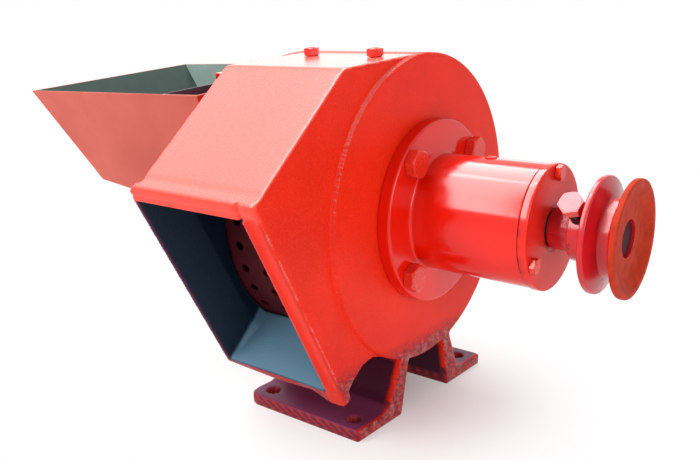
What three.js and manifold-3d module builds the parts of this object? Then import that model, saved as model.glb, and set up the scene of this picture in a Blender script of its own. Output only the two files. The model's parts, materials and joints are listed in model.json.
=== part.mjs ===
// A small disc and beater mill: a cast casing on two feet with a discharge chute, a bearing
// housing that carries the shaft and its belt pulley, a beater rotor inside a curved screen,
// and a hinged door that carries the fixed toothed disc, the feed hopper and its gate.
// Millimetres. X runs along the shaft towards the pulley, the chute looks towards -Y, Z is up.
import * as THREE from "three";
import { mergeVertices } from "three/addons/utils/BufferGeometryUtils.js";
import Module from "manifold-3d";

const wasm = await Module();
wasm.setup();
const degrees = Math.PI / 180;

// Gaps that every piece shares
const seat = 0.3; // between faces that touch
const running = 0.5; // round what turns, swings or slides
const overrun = 3; // how far a cutting shape runs past the face that it cuts
const weld = 0.0005; // corners closer than this are one corner

// Facets round a full turn
const drumSides = 48;
const housingSides = 32;
const ringSides = 20;
const rodSides = 14;
const boltSides = 8;
const pegSides = 10;
const screenHoleSides = 6;
const chamferSides = 12;
const ballSides = 6;
const ballRows = 4;
const cornerSteps = 3;

// Casing: the drum round the milling chamber, closed at its pulley end
const axisHeight = 158;
const chamberRadius = 111;
const casingWall = 6.4;
const casingDepth = 112;
const endWallThickness = 10;
const drumEdgeRadius = 1.5;
const drumRadius = chamberRadius + casingWall;

// Casing: the hood and chute in front of the drum
const topSlope = 5;
const crestReach = 100;
const crestRadius = 10;
const slantSlope = 41.7;
const hoodWall = 7;
const hoodSetback = 3.5;
const chuteThickSide = 16.5;
const chuteThinSide = 4.5;
const chuteFloorWall = 3.5;
const chuteFloorSlope = 46.7;
const archAngle = 26.3;
const archRadius = 30;
const screenLedgeReach = 48;

// Casing: the mouth of the chute and the rounded lip round it
const mouthReach = 104;
const mouthDrop = 118;
const mouthLean = 28.95;
const mouthHeight = 159.4;
const mouthFlare = 10.5;
const flareRun = 30;
const lipDepth = 7;
const lipTop = 13;
const lipRadius = 4;
const lipToe = 13;
const lipToeRadius = 9;
const lipThinSide = 3;

// Casing: the two feet
const footReach = 91;
const footInnerReach = 34;
const footThickness = 9;
const footWebRoot = 36;
const footWebInnerLean = 12;
const footWebOuterLean = 23.2;
const footFilletRadius = 18;
const footRoundRadius = 12;
const footSharpRadius = 4;
const footHoleRadius = 5.5;
const footHoleInset = 15;

// Door hinge on the rear side of the casing
const hingeStandoff = 12.6;
const hingeSetback = 4;
const hingePinRadius = 5;
const hingePinHeadRadius = 7.5;
const hingePinHeadHeight = 3;
const knuckleRadius = 9;
const doorKnuckleHeight = 27;
const casingKnuckleHeight = 12;
const hingeArmThickness = 14;

// Door clamp on the chute side of the casing
const clampStandoff = 12.6;
const clampScrewRadius = 5;
const clampBossRadius = 10;
const clampBossHeight = 3.4;
const clampScrewBite = 4;
const clampEarRadius = 11;
const clampWasherRadius = 10;
const clampWasherThickness = 2;
const clampHubRadius = 9;
const clampHubLength = 15;
const tommyBarRadius = 3.5;
const tommyBarLength = 60;
const tommyBallRadius = 5;

// Screen and the bar that clamps its upper end
const screenThickness = 1.8;
const screenFromAngle = 102;
const screenToAngle = 236;
const screenRimSeat = 5.7;
const screenHoleRadius = 4;
const screenHoleRows = 4;
const screenHolePitch = 19;
const clampBarThickness = 3.8;
const clampBarWidth = 11;
const clampBarInset = 12;
const studRadius = 3.2;
const studReach = 27;
const studFirst = 25;
const studSecond = 84;
const studRecess = 1.5;
const studNutAcross = 10.4;
const studNutHeight = 5.8;

// Bearings
const shaftRadius = 12.5;
const bearingRadius = 31;
const bearingWidth = 17;
const ballRadius = 5.5;
const ballCircleRadius = 21.75;
const ballCount = 7;
const innerRingRadius = 17.6;
const outerRingInnerRadius = 25.9;
const raceClearance = 0.7;
const cageThickness = 2.4;
const cageWidth = 6;

// Bearing housing: flange, barrel and end cover
const flangeRadius = 69.5;
const flangeThickness = 10.4;
const flangeEdgeRadius = 1.5;
const barrelRadius = 44;
const barrelEnd = 94.2;
const barrelFilletRadius = 4;
const spigotRadius = 40;
const spigotDepth = 6;
const chamberBearingPlace = 2;
const housingShoulder = 3;
const flangeBoltCircle = 59;
const flangeBoltRadius = 6;
const flangeBoltAcross = 19;
const flangeBoltHead = 7.7;
const flangeBoltBite = 8;
const coverRadius = 44.8;
const coverThickness = 6.2;
const coverSpigotDepth = 2;
const coverHoleRadius = 13.7;
const coverEdge = 0.8;
const coverScrewCircle = 38.7;
const coverScrewRadius = 3;
const coverScrewAcross = 10;
const coverScrewHead = 4;
const coverScrewBite = 12;
const oilHolePlace = 50.3;
const oilHoleRadius = 3;
const oilerRadius = 4.5;
const oilerHeight = 2.2;
const sealThickness = 5;
const sealRadius = 19.5;

// Shaft and what it carries
const collarRadius = 15.5;
const collarStart = 11.7;
const threadRadius = 10;
const threadLength = 20;
const shaftEndPlace = 150;
const keyWidth = 8;
const keyHeight = 7;
const pulleyKeyLength = 28;
const rotorKeyLength = 16;
const keyEndInset = 3;

// Pulley
const pulleyPlace = 117;
const pulleyHubRadius = 20;
const pulleyHubLength = 15.3;
const pulleyRadius = 40;
const pulleyRimThickness = 4;
const grooveWidth = 16.5;
const grooveDepth = 13;
const grooveWallAngle = 19;
const pulleyDishRadius = 33.5;
const pulleyDishDepth = 5.3;
const pulleyEyeRadius = 17;
const setBoltPlace = 6;
const setBoltAngle = 139.4;
const setBoltRadius = 5;
const setBoltAcross = 15;
const setBoltHead = 7;
const setBoltReach = 40;

// Rotor
const rotorHubRadius = 24;
const rotorHubLength = 24;
const rotorDiscRadius = 98;
const rotorDiscThickness = 8;
const rotorDiscSetback = 8;
const rotorPegCircle = 58;
const rotorPegRadius = 5;
const rotorPegCount = 6;
const rotorPegGap = 10;
const beaterCount = 4;
const beaterInnerRadius = 77;
const beaterOuterRadius = 103;
const beaterThickness = 12;
const beaterGap = 3.7;
const beaterBoltCircle = 88;
const beaterBoltRadius = 4;
const beaterBoltAcross = 13;
const beaterBoltHead = 5.3;
const beaterBoltLength = 28;
const rotorWasherRadius = 17;
const rotorWasherThickness = 2.5;
const rotorNutAcross = 30;
const rotorNutHeight = 12;

// Door, its throat and the fixed toothed disc
const doorRadius = 117.4;
const doorThickness = 8;
const doorRimWidth = 9;
const doorRimHeight = 4;
const doorRibCount = 6;
const doorRibThickness = 6;
const doorRibHeight = 9;
const throatRadius = 34;
const throatWall = 10;
const throatFlangeRadius = 60;
const throatFlangeThickness = 7;
const throatLength = 21.4;
const statorRadius = 104;
const statorThickness = 8;
const statorToothHeight = 8;
const statorToothWidth = 6;
const statorToothInner = 46;
const statorToothCount = 16;
const statorScrewCircle = 40;
const statorScrewRadius = 3;
const statorScrewHeadRadius = 5;
const statorScrewHead = 4;
const statorScrewBite = 6;
const statorScrewCount = 3;

// Hopper and feed gate, which stand a little turned about the shaft axis
const hopperTurn = 5.7;
const hopperSheet = 2;
const hopperLength = 225;
const hopperRimHeight = 91;
const hopperRimSlope = 1.3;
const hopperRimHalfWidth = 92.5;
const hopperSideLean = 9.6;
const hopperEndLean = 40;
const hopperFloorHeight = 11;
const hopperFloorSlope = 6.7;
const partitionInset = 42;
const windowWidth = 60;
const windowHeight = 44;
const gateWidth = 70;
const gateThickness = 2.5;
const gateProud = 8.4;
const gateHandleDepth = 11;
const guideThickness = 5.5;
const guideLip = 4.5;
const guideSheet = 3;
const guideLow = 12;
const guideHigh = 86;
const hopperBoltCircle = 52;
const hopperBoltRadius = 4;
const hopperBoltAcross = 13;
const hopperBoltHead = 5.5;

// The flat inside a bolt head's chamfer, as a share of the width across its flats
const hexFlatShare = 0.95;

// A closed geometry as a solid that can be joined and cut
function solid(geometry) {
  const bare = new THREE.BufferGeometry();
  bare.setAttribute("position", geometry.getAttribute("position"));
  bare.setIndex(geometry.getIndex());
  const merged = mergeVertices(bare, weld);
  return new wasm.Manifold(
    new wasm.Mesh({
      numProp: 3,
      vertProperties: merged.getAttribute("position").array,
      triVerts: new Uint32Array(merged.getIndex().array),
    }),
  );
}

function geometryOf(made) {
  const { vertProperties, triVerts, numProp } = made.getMesh();
  const geometry = new THREE.BufferGeometry();
  geometry.setAttribute("position", new THREE.BufferAttribute(vertProperties, numProp));
  geometry.setIndex(new THREE.BufferAttribute(triVerts, 1));
  geometry.computeVertexNormals();
  return geometry;
}

const join = (...made) => made.reduce((whole, part) => whole.add(part));
const cut = (made, ...tools) => tools.reduce((whole, tool) => whole.subtract(tool), made);
const common = (...made) => made.reduce((whole, part) => whole.intersect(part));
const middle = (from, to) => (from + to) / 2;
const pointAt = (radius, angle) => [
  radius * Math.cos(angle * degrees),
  radius * Math.sin(angle * degrees),
];
const anglesOf = (count, first = 0) =>
  Array.from({ length: count }, (_, i) => first + (i * 360) / count);

// A solid turned round the X axis from a closed profile of [x, radius] points
function turned(profile, sides = rodSides) {
  const points = profile.map(([x, radius]) => new THREE.Vector2(radius, x));
  return solid(new THREE.LatheGeometry(points, sides).rotateZ(-90 * degrees));
}

const disc = (radius, from, to, sides = rodSides) =>
  turned([[from, 0], [from, radius], [to, radius], [to, 0]], sides);

const ring = (inner, outer, from, to, sides = ringSides) =>
  turned([[from, inner], [from, outer], [to, outer], [to, inner], [from, inner]], sides);

// An arc of [x, radius] points for a turned profile
const arc = (x, radius, size, from, to) =>
  Array.from({ length: cornerSteps + 1 }, (_, i) => {
    const angle = from + ((to - from) * i) / cornerSteps;
    const [alongX, outward] = pointAt(size, angle);
    return [x + alongX, radius + outward];
  });

function block([x0, x1], [y0, y1], [z0, z1]) {
  const box = new THREE.BoxGeometry(x1 - x0, y1 - y0, z1 - z0);
  return solid(box.translate(middle(x0, x1), middle(y0, y1), middle(z0, z1)));
}

// A closed outline of [u, v, radius] corners, each rounded where a radius is given
function outlineOf(corners) {
  const shape = new THREE.Shape();
  const spot = (i) => new THREE.Vector2(...corners.at(i % corners.length).slice(0, 2));
  corners.forEach(([, , radius = 0], i) => {
    const corner = spot(i);
    const back = spot(i - 1).sub(corner).normalize();
    const ahead = spot(i + 1).sub(corner).normalize();
    const run = radius / Math.tan(back.angleTo(ahead) / 2);
    const start = corner.clone().addScaledVector(back, run);
    const end = corner.clone().addScaledVector(ahead, run);
    if (i === 0) shape.moveTo(start.x, start.y);
    else shape.lineTo(start.x, start.y);
    if (radius > 0) shape.quadraticCurveTo(corner.x, corner.y, end.x, end.y);
  });
  shape.closePath();
  return shape;
}

// An outline carried from one place to another along the third axis of its own directions
function carried(corners, from, to, along) {
  const geometry = new THREE.ExtrudeGeometry(outlineOf(corners), {
    depth: to - from,
    bevelEnabled: false,
    curveSegments: cornerSteps,
  });
  return solid(geometry.translate(0, 0, from).applyMatrix4(along));
}

const axisX = new THREE.Vector3(1, 0, 0);
const axisY = new THREE.Vector3(0, 1, 0);
const axisZ = new THREE.Vector3(0, 0, 1);
const towardsX = new THREE.Matrix4().makeBasis(axisY, axisZ, axisX);
const towardsY = new THREE.Matrix4().makeBasis(axisX, axisZ, axisY.clone().negate());
const upwards = new THREE.Matrix4();
const slab = (yzCorners, from, to) => carried(yzCorners, from, to, towardsX);
const wall = (xzCorners, from, to) => carried(xzCorners, -to, -from, towardsY);
const plate = (xyCorners, from, to) => carried(xyCorners, from, to, upwards);

// The same solid turned about the X axis and then moved
function placed(made, angle, [x, y, z] = [0, 0, 0]) {
  const geometry = geometryOf(made).rotateX(angle * degrees).translate(x, y, z);
  return solid(geometry);
}

// An upright rod, and one that lies along Y
const post = (radius, from, to, [x, y], sides = rodSides) =>
  solid(geometryOf(disc(radius, from, to, sides)).rotateY(-90 * degrees).translate(x, y, 0));

// A rod along X away from the shaft axis
const rodAt = (radius, from, to, [y, z], sides = boltSides) =>
  placed(disc(radius, from, to, sides), 0, [0, y, z]);

// Where the line through one point at one slope meets the line through another
function meeting([ax, ay], slopeA, [bx, by], slopeB) {
  const [ux, uy] = pointAt(1, slopeA);
  const [vx, vy] = pointAt(1, slopeB);
  const run = ((bx - ax) * vy - (by - ay) * vx) / (ux * vy - uy * vx);
  return [ax + ux * run, ay + uy * run];
}

// A closed outline drawn in by one distance, its corners given anticlockwise
function inset(corners, distance) {
  const edges = corners.map(([x, y], i) => {
    const [nextX, nextY] = corners[(i + 1) % corners.length];
    const angle = Math.atan2(nextY - y, nextX - x) / degrees;
    const [dx, dy] = pointAt(distance, angle + 90);
    return { point: [x + dx, y + dy], angle };
  });
  return edges.map((edge, i) => {
    const before = edges.at(i - 1);
    return meeting(before.point, before.angle, edge.point, edge.angle);
  });
}

// A wedge round the X axis between two angles
function sector(radius, fromAngle, toAngle, from, to) {
  const steps = Math.ceil((toAngle - fromAngle) / 30);
  const rim = Array.from({ length: steps + 1 }, (_, i) =>
    pointAt(radius, fromAngle + ((toAngle - fromAngle) * i) / steps),
  );
  return slab([[0, 0], ...rim], from, to);
}

// A hexagon along X whose far corners are chamfered round
function hexagon(across, from, to) {
  const cornerRadius = across / 2 / Math.cos(30 * degrees);
  const flatRadius = (across * hexFlatShare) / 2;
  const drop = (cornerRadius - flatRadius) * Math.tan(30 * degrees);
  const face = Math.sign(to - from);
  const profile = [
    [from, 0],
    [from, cornerRadius],
    [to - face * drop, cornerRadius],
    [to, flatRadius],
    [to, 0],
  ];
  if (face < 0) profile.reverse();
  const low = Math.min(from, to);
  const high = Math.max(from, to);
  return common(disc(cornerRadius, low, high, 6), turned(profile, chamferSides));
}

// A hexagon bolt along X: its head stands on the plane x = 0, its shank runs to -X
const hexBolt = (shankRadius, length, across, head) =>
  join(hexagon(across, 0, head), disc(shankRadius, -length, overrun, boltSides));

const looks = {
  enamel: { color: 0xe0341f, roughness: 0.42, metalness: 0.05 },
  castEnamel: { color: 0xd8301d, roughness: 0.55, metalness: 0.05 },
  sheetEnamel: { color: 0xd4604f, roughness: 0.5, metalness: 0.05 },
  darkSteel: { color: 0x3a2024, roughness: 0.6, metalness: 0.7 },
  steel: { color: 0x8a8d90, roughness: 0.35, metalness: 0.9 },
  castIron: { color: 0x4b4a4a, roughness: 0.7, metalness: 0.6 },
  bearingSteel: { color: 0xb9bcc0, roughness: 0.2, metalness: 1 },
  brass: { color: 0xb08d3c, roughness: 0.35, metalness: 0.9 },
  felt: { color: 0x4a4640, roughness: 0.95, metalness: 0 },
};

const grinder = new THREE.Group();

// Everything is built about the shaft axis, with x = 0 on the drum's pulley side face
const mill = new THREE.Group();
grinder.add(mill);

function piece(name, made, look, parent = mill) {
  const mesh = new THREE.Mesh(geometryOf(made), new THREE.MeshStandardMaterial(looks[look]));
  mesh.name = name;
  parent.add(mesh);
  return mesh;
}

// Casing outline values shared by the hood, its hollow and the lip
const mouthFoot = [-mouthReach, -mouthDrop];
const mouthUp = 90 + mouthLean;
const tangentPoint = pointAt(drumRadius, 90 + topSlope);
const crestRun = crestReach + tangentPoint[0];
const crest = [-crestReach, tangentPoint[1] - crestRun * Math.tan(topSlope * degrees)];
const archJoin = pointAt(drumRadius, 270 - archAngle);
const toMouth = (made) => placed(made, mouthLean, [0, ...mouthFoot]);
const alongMouth = (distance) => {
  const [dy, dz] = pointAt(distance, mouthUp);
  return [mouthFoot[0] + dy, mouthFoot[1] + dz];
};
const floorLip = alongMouth(-chuteFloorWall);
const chuteSidePlane = -hoodSetback - chuteThickSide;
const chuteThinPlane = -casingDepth + chuteThinSide;
const mouthThinPlane = chuteThinPlane - mouthFlare;

// The hood's side view: top plate, crest, slanted plate, mouth, floor and the arch below it.
// Its front lies one lip radius behind the mouth, so that the lip's rounded edge stays free.
const behindMouth = pointAt(lipRadius, mouthUp - 90);
const hoodFront = [mouthFoot[0] + behindMouth[0], mouthFoot[1] + behindMouth[1]];
const hoodCorners = [
  tangentPoint,
  [...crest, crestRadius],
  meeting(crest, slantSlope, hoodFront, mouthUp),
  meeting(floorLip, chuteFloorSlope, hoodFront, mouthUp),
  [...meeting(floorLip, chuteFloorSlope, archJoin, 180 - archAngle), archRadius],
  archJoin,
];

// The hollow inside the hood, open to the chamber and at the mouth
function chuteHollow() {
  const topInner = [tangentPoint[0], tangentPoint[1] - hoodWall];
  const slantInner = [crest[0], crest[1] - hoodWall / Math.cos(slantSlope * degrees)];
  const crestInner = meeting(topInner, topSlope, slantInner, slantSlope);
  const [ledgeX, ledgeTop] = meeting(topInner, topSlope, [-screenLedgeReach, 0], 90);
  const inChamber = pointAt(chamberRadius - casingWall, 270 - archAngle - topSlope);
  const mouthTop = alongMouth(mouthHeight);
  const outward = pointAt(overrun, mouthUp + 90);
  const outside = ([y, z]) => [y + outward[0], z + outward[1]];
  const floorInside = meeting(mouthFoot, chuteFloorSlope, inChamber, 90);
  const corners = [
    outside(mouthFoot),
    mouthFoot,
    floorInside,
    [ledgeX, ledgeTop - casingWall - hoodWall],
    [ledgeX, ledgeTop],
    crestInner,
    mouthTop,
    outside(mouthTop),
  ];
  const straight = slab(corners, chuteThinPlane, chuteSidePlane);
  const flared = plate(
    [
      [mouthThinPlane, -overrun],
      [chuteSidePlane, -overrun],
      [chuteSidePlane, flareRun],
      [chuteThinPlane, flareRun],
      [mouthThinPlane, 0],
    ],
    0,
    mouthHeight,
  );
  return join(straight, common(toMouth(flared), slab(corners, mouthThinPlane, chuteSidePlane)));
}

// The thin side of the hood swells outwards over its last stretch before the mouth
function mouthSwelling() {
  const outerPlane = mouthThinPlane - lipThinSide;
  const wedge = plate(
    [
      [outerPlane, 0],
      [chuteSidePlane, 0],
      [chuteSidePlane, flareRun],
      [-casingDepth, flareRun],
    ],
    -chuteFloorWall,
    mouthHeight,
  );
  return common(toMouth(wedge), slab(hoodCorners, outerPlane, chuteSidePlane));
}

// The lip: three outlines across one another round its front edges and mitre its corners
function mouthLip() {
  const thinEdge = mouthThinPlane - lipThinSide;
  const top = mouthHeight + lipTop;
  const across = slab(
    [[0, -lipToe], [lipDepth, -lipToe], [lipDepth, top], [0, top, lipRadius]],
    thinEdge,
    -hoodSetback,
  );
  const along = plate(
    [[thinEdge, 0], [-hoodSetback, 0, lipRadius], [-hoodSetback, lipDepth], [thinEdge, lipDepth]],
    -lipToe,
    top,
  );
  const front = wall(
    [
      [thinEdge, -chuteFloorWall],
      [chuteSidePlane - lipToe, -chuteFloorWall],
      [chuteSidePlane, -lipToe, lipRadius],
      [-hoodSetback, -lipToe, lipToeRadius],
      [-hoodSetback, top, lipRadius],
      [thinEdge, top, lipToeRadius],
    ],
    0,
    lipDepth,
  );
  return toMouth(common(across, along, front));
}

// One foot: a leaning web under the drum with a flange turned outwards, side is -1 or 1
function foot(side) {
  const sole = -axisHeight;
  const rootDrop = -Math.sqrt(drumRadius ** 2 - footWebRoot ** 2);
  const top = rootDrop + casingWall * 2;
  const inner = (z) => footInnerReach - (z - sole) * Math.tan(footWebInnerLean * degrees);
  const outer = (z) => footWebRoot + (rootDrop - z) * Math.tan(footWebOuterLean * degrees);
  const flangeTop = sole + footThickness;
  const section = [
    [side * footReach, sole],
    [side * footInnerReach, sole],
    [side * inner(top), top],
    [side * outer(top), top],
    [side * outer(flangeTop), flangeTop, footFilletRadius],
    [side * footReach, flangeTop],
  ];
  const plan = [
    [-casingDepth, side * footReach, footRoundRadius],
    [0, side * footReach, footSharpRadius],
    [0, 0],
    [-casingDepth, 0],
  ];
  const holes = [-footHoleInset, footHoleInset - casingDepth].map((x) =>
    post(footHoleRadius, sole - overrun, flangeTop + overrun, [
      x,
      side * (footReach - footHoleInset),
    ]),
  );
  return cut(common(slab(section, -casingDepth, 0), plate(plan, sole, top)), ...holes);
}

// Hinge and clamp stand clear of both the drum and the door
const widestRadius = Math.max(drumRadius, doorRadius);
const hingeReach = widestRadius + hingeStandoff;
const hingeX = -casingDepth - hingeSetback;
const hingeSpot = [hingeX, hingeReach];
const doorKnuckleHalf = doorKnuckleHeight / 2;
const casingKnuckleLow = doorKnuckleHalf + running;
const casingKnuckleHigh = casingKnuckleLow + casingKnuckleHeight;

// The casing's two knuckles above and below the door's, each on an arm from the drum
function casingKnuckles() {
  const armPlan = [
    [hingeArmThickness - casingDepth, 0],
    [-casingDepth, 0],
    [-casingDepth, hingeReach],
    [hingeX + knuckleRadius, hingeReach],
    [hingeArmThickness - casingDepth, drumRadius - casingWall],
  ];
  const knuckle = (low, high) =>
    cut(
      join(post(knuckleRadius, low, high, hingeSpot), plate(armPlan, low, high)),
      post(hingePinRadius + seat, low - overrun, high + overrun, hingeSpot),
    );
  return [
    knuckle(casingKnuckleLow, casingKnuckleHigh),
    knuckle(-casingKnuckleHigh, -casingKnuckleLow),
  ];
}

// The stud places in the frame of the top plate, whose outer face lies at the drum's radius
const toTopPlate = (made, x) => placed(made, topSlope, [x, 0, 0]);
const studPlaces = [-studFirst, -studSecond];
const studFoot = Math.sqrt((chamberRadius - screenThickness - seat * 2) ** 2 - studReach ** 2);
const studHole = (radius) =>
  studPlaces.map((x) =>
    toTopPlate(post(radius, studFoot - casingWall * 2, drumRadius + overrun, [0, -studReach]), x),
  );

// The boss that the clamp screw bites into
const clampReach = widestRadius + clampStandoff;
const clampSpot = [-clampReach, 0];
const clampBossFace = -casingDepth - clampBossHeight;

function casing() {
  const drum = turned(
    [
      [-casingDepth, 0],
      [-casingDepth, drumRadius],
      ...arc(-drumEdgeRadius, drumRadius - drumEdgeRadius, drumEdgeRadius, 90, 0),
      [0, 0],
    ],
    drumSides,
  );
  const hood = slab(hoodCorners, -casingDepth, -hoodSetback);
  const boss = rodAt(clampBossRadius, clampBossFace, chuteThinPlane, clampSpot, rodSides);
  const outside = join(
    drum,
    hood,
    mouthSwelling(),
    mouthLip(),
    foot(-1),
    foot(1),
    boss,
    ...casingKnuckles(),
  );
  const chamber = disc(chamberRadius, -casingDepth - overrun, -endWallThickness, drumSides);
  const spigotBore = disc(spigotRadius + seat, -endWallThickness - overrun, overrun, housingSides);
  const boltHoles = anglesOf(4, 45).map((angle) =>
    rodAt(
      flangeBoltRadius + seat,
      -endWallThickness - overrun,
      overrun,
      pointAt(flangeBoltCircle, angle),
    ),
  );
  const screwHole = rodAt(
    clampScrewRadius + running,
    clampBossFace - overrun,
    clampBossFace + clampScrewBite + running,
    clampSpot,
  );
  const doorway = ring(
    doorRadius - casingWall * 2,
    doorRadius + running,
    -casingDepth - mouthFlare,
    -casingDepth,
    drumSides,
  );
  return cut(
    outside,
    chamber,
    chuteHollow(),
    doorway,
    spigotBore,
    screwHole,
    ...boltHoles,
    ...studHole(studRadius + seat),
  );
}

piece("mill_casing", casing(), "castEnamel");

// The screen lines the chamber where it opens into the chute
const screenOuter = chamberRadius - seat;
const screenInner = screenOuter - screenThickness;

function screen() {
  const low = -casingDepth + seat * 3;
  const high = chuteSidePlane + screenRimSeat;
  const reach = drumRadius + hoodWall + casingWall * 2;
  const sheet = common(
    ring(screenInner, screenOuter, low, high, drumSides),
    sector(reach, screenFromAngle, screenToAngle, low, high),
  );
  const step = screenHolePitch / screenInner / degrees;
  const first = 90 + Math.asin(screenLedgeReach / screenInner) / degrees + step / 2;
  const last = 180 + chuteFloorSlope - step / 2;
  const rows = Math.floor((last - first) / step);
  const spacing = (chuteSidePlane - chuteThinPlane) / screenHoleRows;
  const holes = [];
  for (let row = 0; row <= rows; row += 1) {
    for (let i = 0; i < screenHoleRows; i += 1) {
      const x = chuteThinPlane + spacing * i + spacing / 2;
      const hole = post(
        screenHoleRadius,
        screenInner - overrun,
        screenOuter + overrun,
        [x, 0],
        screenHoleSides,
      );
      holes.push(placed(hole, first + row * step - 90));
    }
  }
  return cut(sheet, ...holes, ...studHole(studRadius + running));
}

piece("ring_screen", screen(), "darkSteel");

// The bar under the screen's upper end, its studs and their nuts
function screenBar() {
  const outer = screenInner - seat;
  const inner = outer - clampBarThickness;
  const centre = 90 + topSlope + Math.asin(studReach / outer) / degrees;
  const half = clampBarWidth / outer / degrees / 2;
  const low = -casingDepth + clampBarInset;
  const high = chuteSidePlane;
  const strip = common(
    ring(inner, outer, low, high, drumSides),
    sector(drumRadius, centre - half, centre + half, low, high),
  );
  return cut(strip, ...studHole(studRadius + seat));
}

piece("screen_clamp_bar", screenBar(), "steel");

studPlaces.forEach((x, i) => {
  const nutTop = drumRadius + seat + studNutHeight;
  const bar = screenInner - seat - clampBarThickness;
  const foot = Math.sqrt(bar ** 2 - studReach ** 2) + seat;
  const stud = post(studRadius, foot, nutTop - studRecess, [0, -studReach], boltSides);
  piece(`screen_stud_${i + 1}`, toTopPlate(stud, x), "steel");
  const hex = hexagon(studNutAcross, drumRadius + seat, nutTop);
  const bored = cut(hex, disc(studRadius + seat, drumRadius - overrun, nutTop + overrun));
  const nut = solid(geometryOf(bored).rotateY(-90 * degrees).translate(0, -studReach, 0));
  piece(`screen_nut_${i + 1}`, toTopPlate(nut, x), "enamel");
});

// Bearing places along the shaft
const pulleyBearingEnd = barrelEnd + seat - coverSpigotDepth - seat;
const pulleyBearingPlace = pulleyBearingEnd - bearingWidth;
const bearingBore = bearingRadius + seat;
const shoulderRadius = bearingRadius - housingShoulder;

function housing() {
  const flangeFace = seat + flangeThickness;
  const shell = turned(
    [
      [-spigotDepth, bearingBore],
      [-spigotDepth, spigotRadius],
      [seat, spigotRadius],
      [seat, flangeRadius],
      ...arc(flangeFace - flangeEdgeRadius, flangeRadius - flangeEdgeRadius, flangeEdgeRadius, 90, 0),
      ...arc(
        flangeFace + barrelFilletRadius,
        barrelRadius + barrelFilletRadius,
        barrelFilletRadius,
        180,
        270,
      ),
      [barrelEnd, barrelRadius],
      [barrelEnd, bearingBore],
      [pulleyBearingPlace - seat, bearingBore],
      [pulleyBearingPlace - seat, shoulderRadius],
      [chamberBearingPlace + bearingWidth + seat, shoulderRadius],
      [chamberBearingPlace + bearingWidth + seat, bearingBore],
      [-spigotDepth, bearingBore],
    ],
    housingSides,
  );
  const boltHoles = anglesOf(4, 45).map((angle) =>
    rodAt(flangeBoltRadius + running, -overrun, flangeFace + overrun, pointAt(flangeBoltCircle, angle)),
  );
  const screwHoles = anglesOf(3, 90).map((angle) =>
    rodAt(
      coverScrewRadius + seat,
      barrelEnd - coverScrewBite - running,
      barrelEnd + overrun,
      pointAt(coverScrewCircle, angle),
    ),
  );
  const oilHole = post(oilHoleRadius, 0, barrelRadius + overrun, [oilHolePlace, 0], boltSides);
  return cut(shell, oilHole, ...boltHoles, ...screwHoles);
}

piece("bearing_housing", housing(), "enamel");

const oilerStem = post(
  oilHoleRadius - seat,
  shoulderRadius + seat,
  barrelRadius + overrun / 2,
  [oilHolePlace, 0],
  boltSides,
);
const oilerCap = post(
  oilerRadius,
  barrelRadius + seat,
  barrelRadius + oilerHeight,
  [oilHolePlace, 0],
  boltSides,
);
piece("oil_plug", join(oilerStem, oilerCap), "brass");

anglesOf(4, 45).forEach((angle, i) => {
  const length = flangeThickness + seat * 2 + flangeBoltBite;
  const bolt = hexBolt(flangeBoltRadius, length, flangeBoltAcross, flangeBoltHead);
  const mesh = piece(`flange_bolt_${i + 1}`, bolt, "enamel");
  mesh.position.set(flangeThickness + seat * 2, ...pointAt(flangeBoltCircle, angle));
});

// End cover with its own spigot and seal recess
const coverStart = barrelEnd + seat;
const coverEnd = coverStart + coverThickness;
const sealStart = coverStart - coverSpigotDepth;

function cover() {
  const body = turned(
    [
      [coverStart - coverSpigotDepth, sealRadius + seat],
      [coverStart - coverSpigotDepth, bearingRadius],
      [coverStart, bearingRadius],
      [coverStart, coverRadius],
      [coverEnd - coverEdge, coverRadius],
      [coverEnd, coverRadius - coverEdge],
      [coverEnd, coverHoleRadius],
      [sealStart + sealThickness + seat, coverHoleRadius],
      [sealStart + sealThickness + seat, sealRadius + seat],
      [coverStart - coverSpigotDepth, sealRadius + seat],
    ],
    housingSides,
  );
  const holes = anglesOf(3, 90).map((angle) =>
    rodAt(
      coverScrewRadius + seat,
      coverStart - overrun,
      coverEnd + overrun,
      pointAt(coverScrewCircle, angle),
    ),
  );
  return cut(body, ...holes);
}

piece("bearing_cover", cover(), "enamel");

anglesOf(3, 90).forEach((angle, i) => {
  const length = coverThickness + seat + coverScrewBite;
  const screw = hexBolt(coverScrewRadius, length, coverScrewAcross, coverScrewHead);
  const mesh = piece(`cover_screw_${i + 1}`, screw, "enamel");
  mesh.position.set(coverEnd + seat, ...pointAt(coverScrewCircle, angle));
});

// Felt seals: one in the cover, one round the shaft collar at the chamber end
piece("cover_seal", ring(shaftRadius + running, sealRadius, sealStart, sealStart + sealThickness), "felt");
piece(
  "chamber_seal",
  ring(
    collarRadius + running,
    bearingRadius,
    chamberBearingPlace - seat - sealThickness,
    chamberBearingPlace - seat,
  ),
  "felt",
);

// A bearing ring's profile with the groove that its balls run in
function raceProfile(start, inner, outer, grooveOnOutside) {
  const centre = start + bearingWidth / 2;
  const grooveRadius = ballRadius + raceClearance;
  const edge = grooveOnOutside ? outer : inner;
  const half = Math.acos(Math.abs(ballCircleRadius - edge) / grooveRadius) / degrees;
  const end = start + bearingWidth;
  if (grooveOnOutside) {
    const groove = arc(centre, ballCircleRadius, grooveRadius, 270 - half, 270 + half);
    return [[start, inner], [start, outer], ...groove, [end, outer], [end, inner], [start, inner]];
  }
  const groove = arc(centre, ballCircleRadius, grooveRadius, 90 - half, 90 + half);
  return [[start, inner], [start, outer], [end, outer], [end, inner], ...groove, [start, inner]];
}

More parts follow.
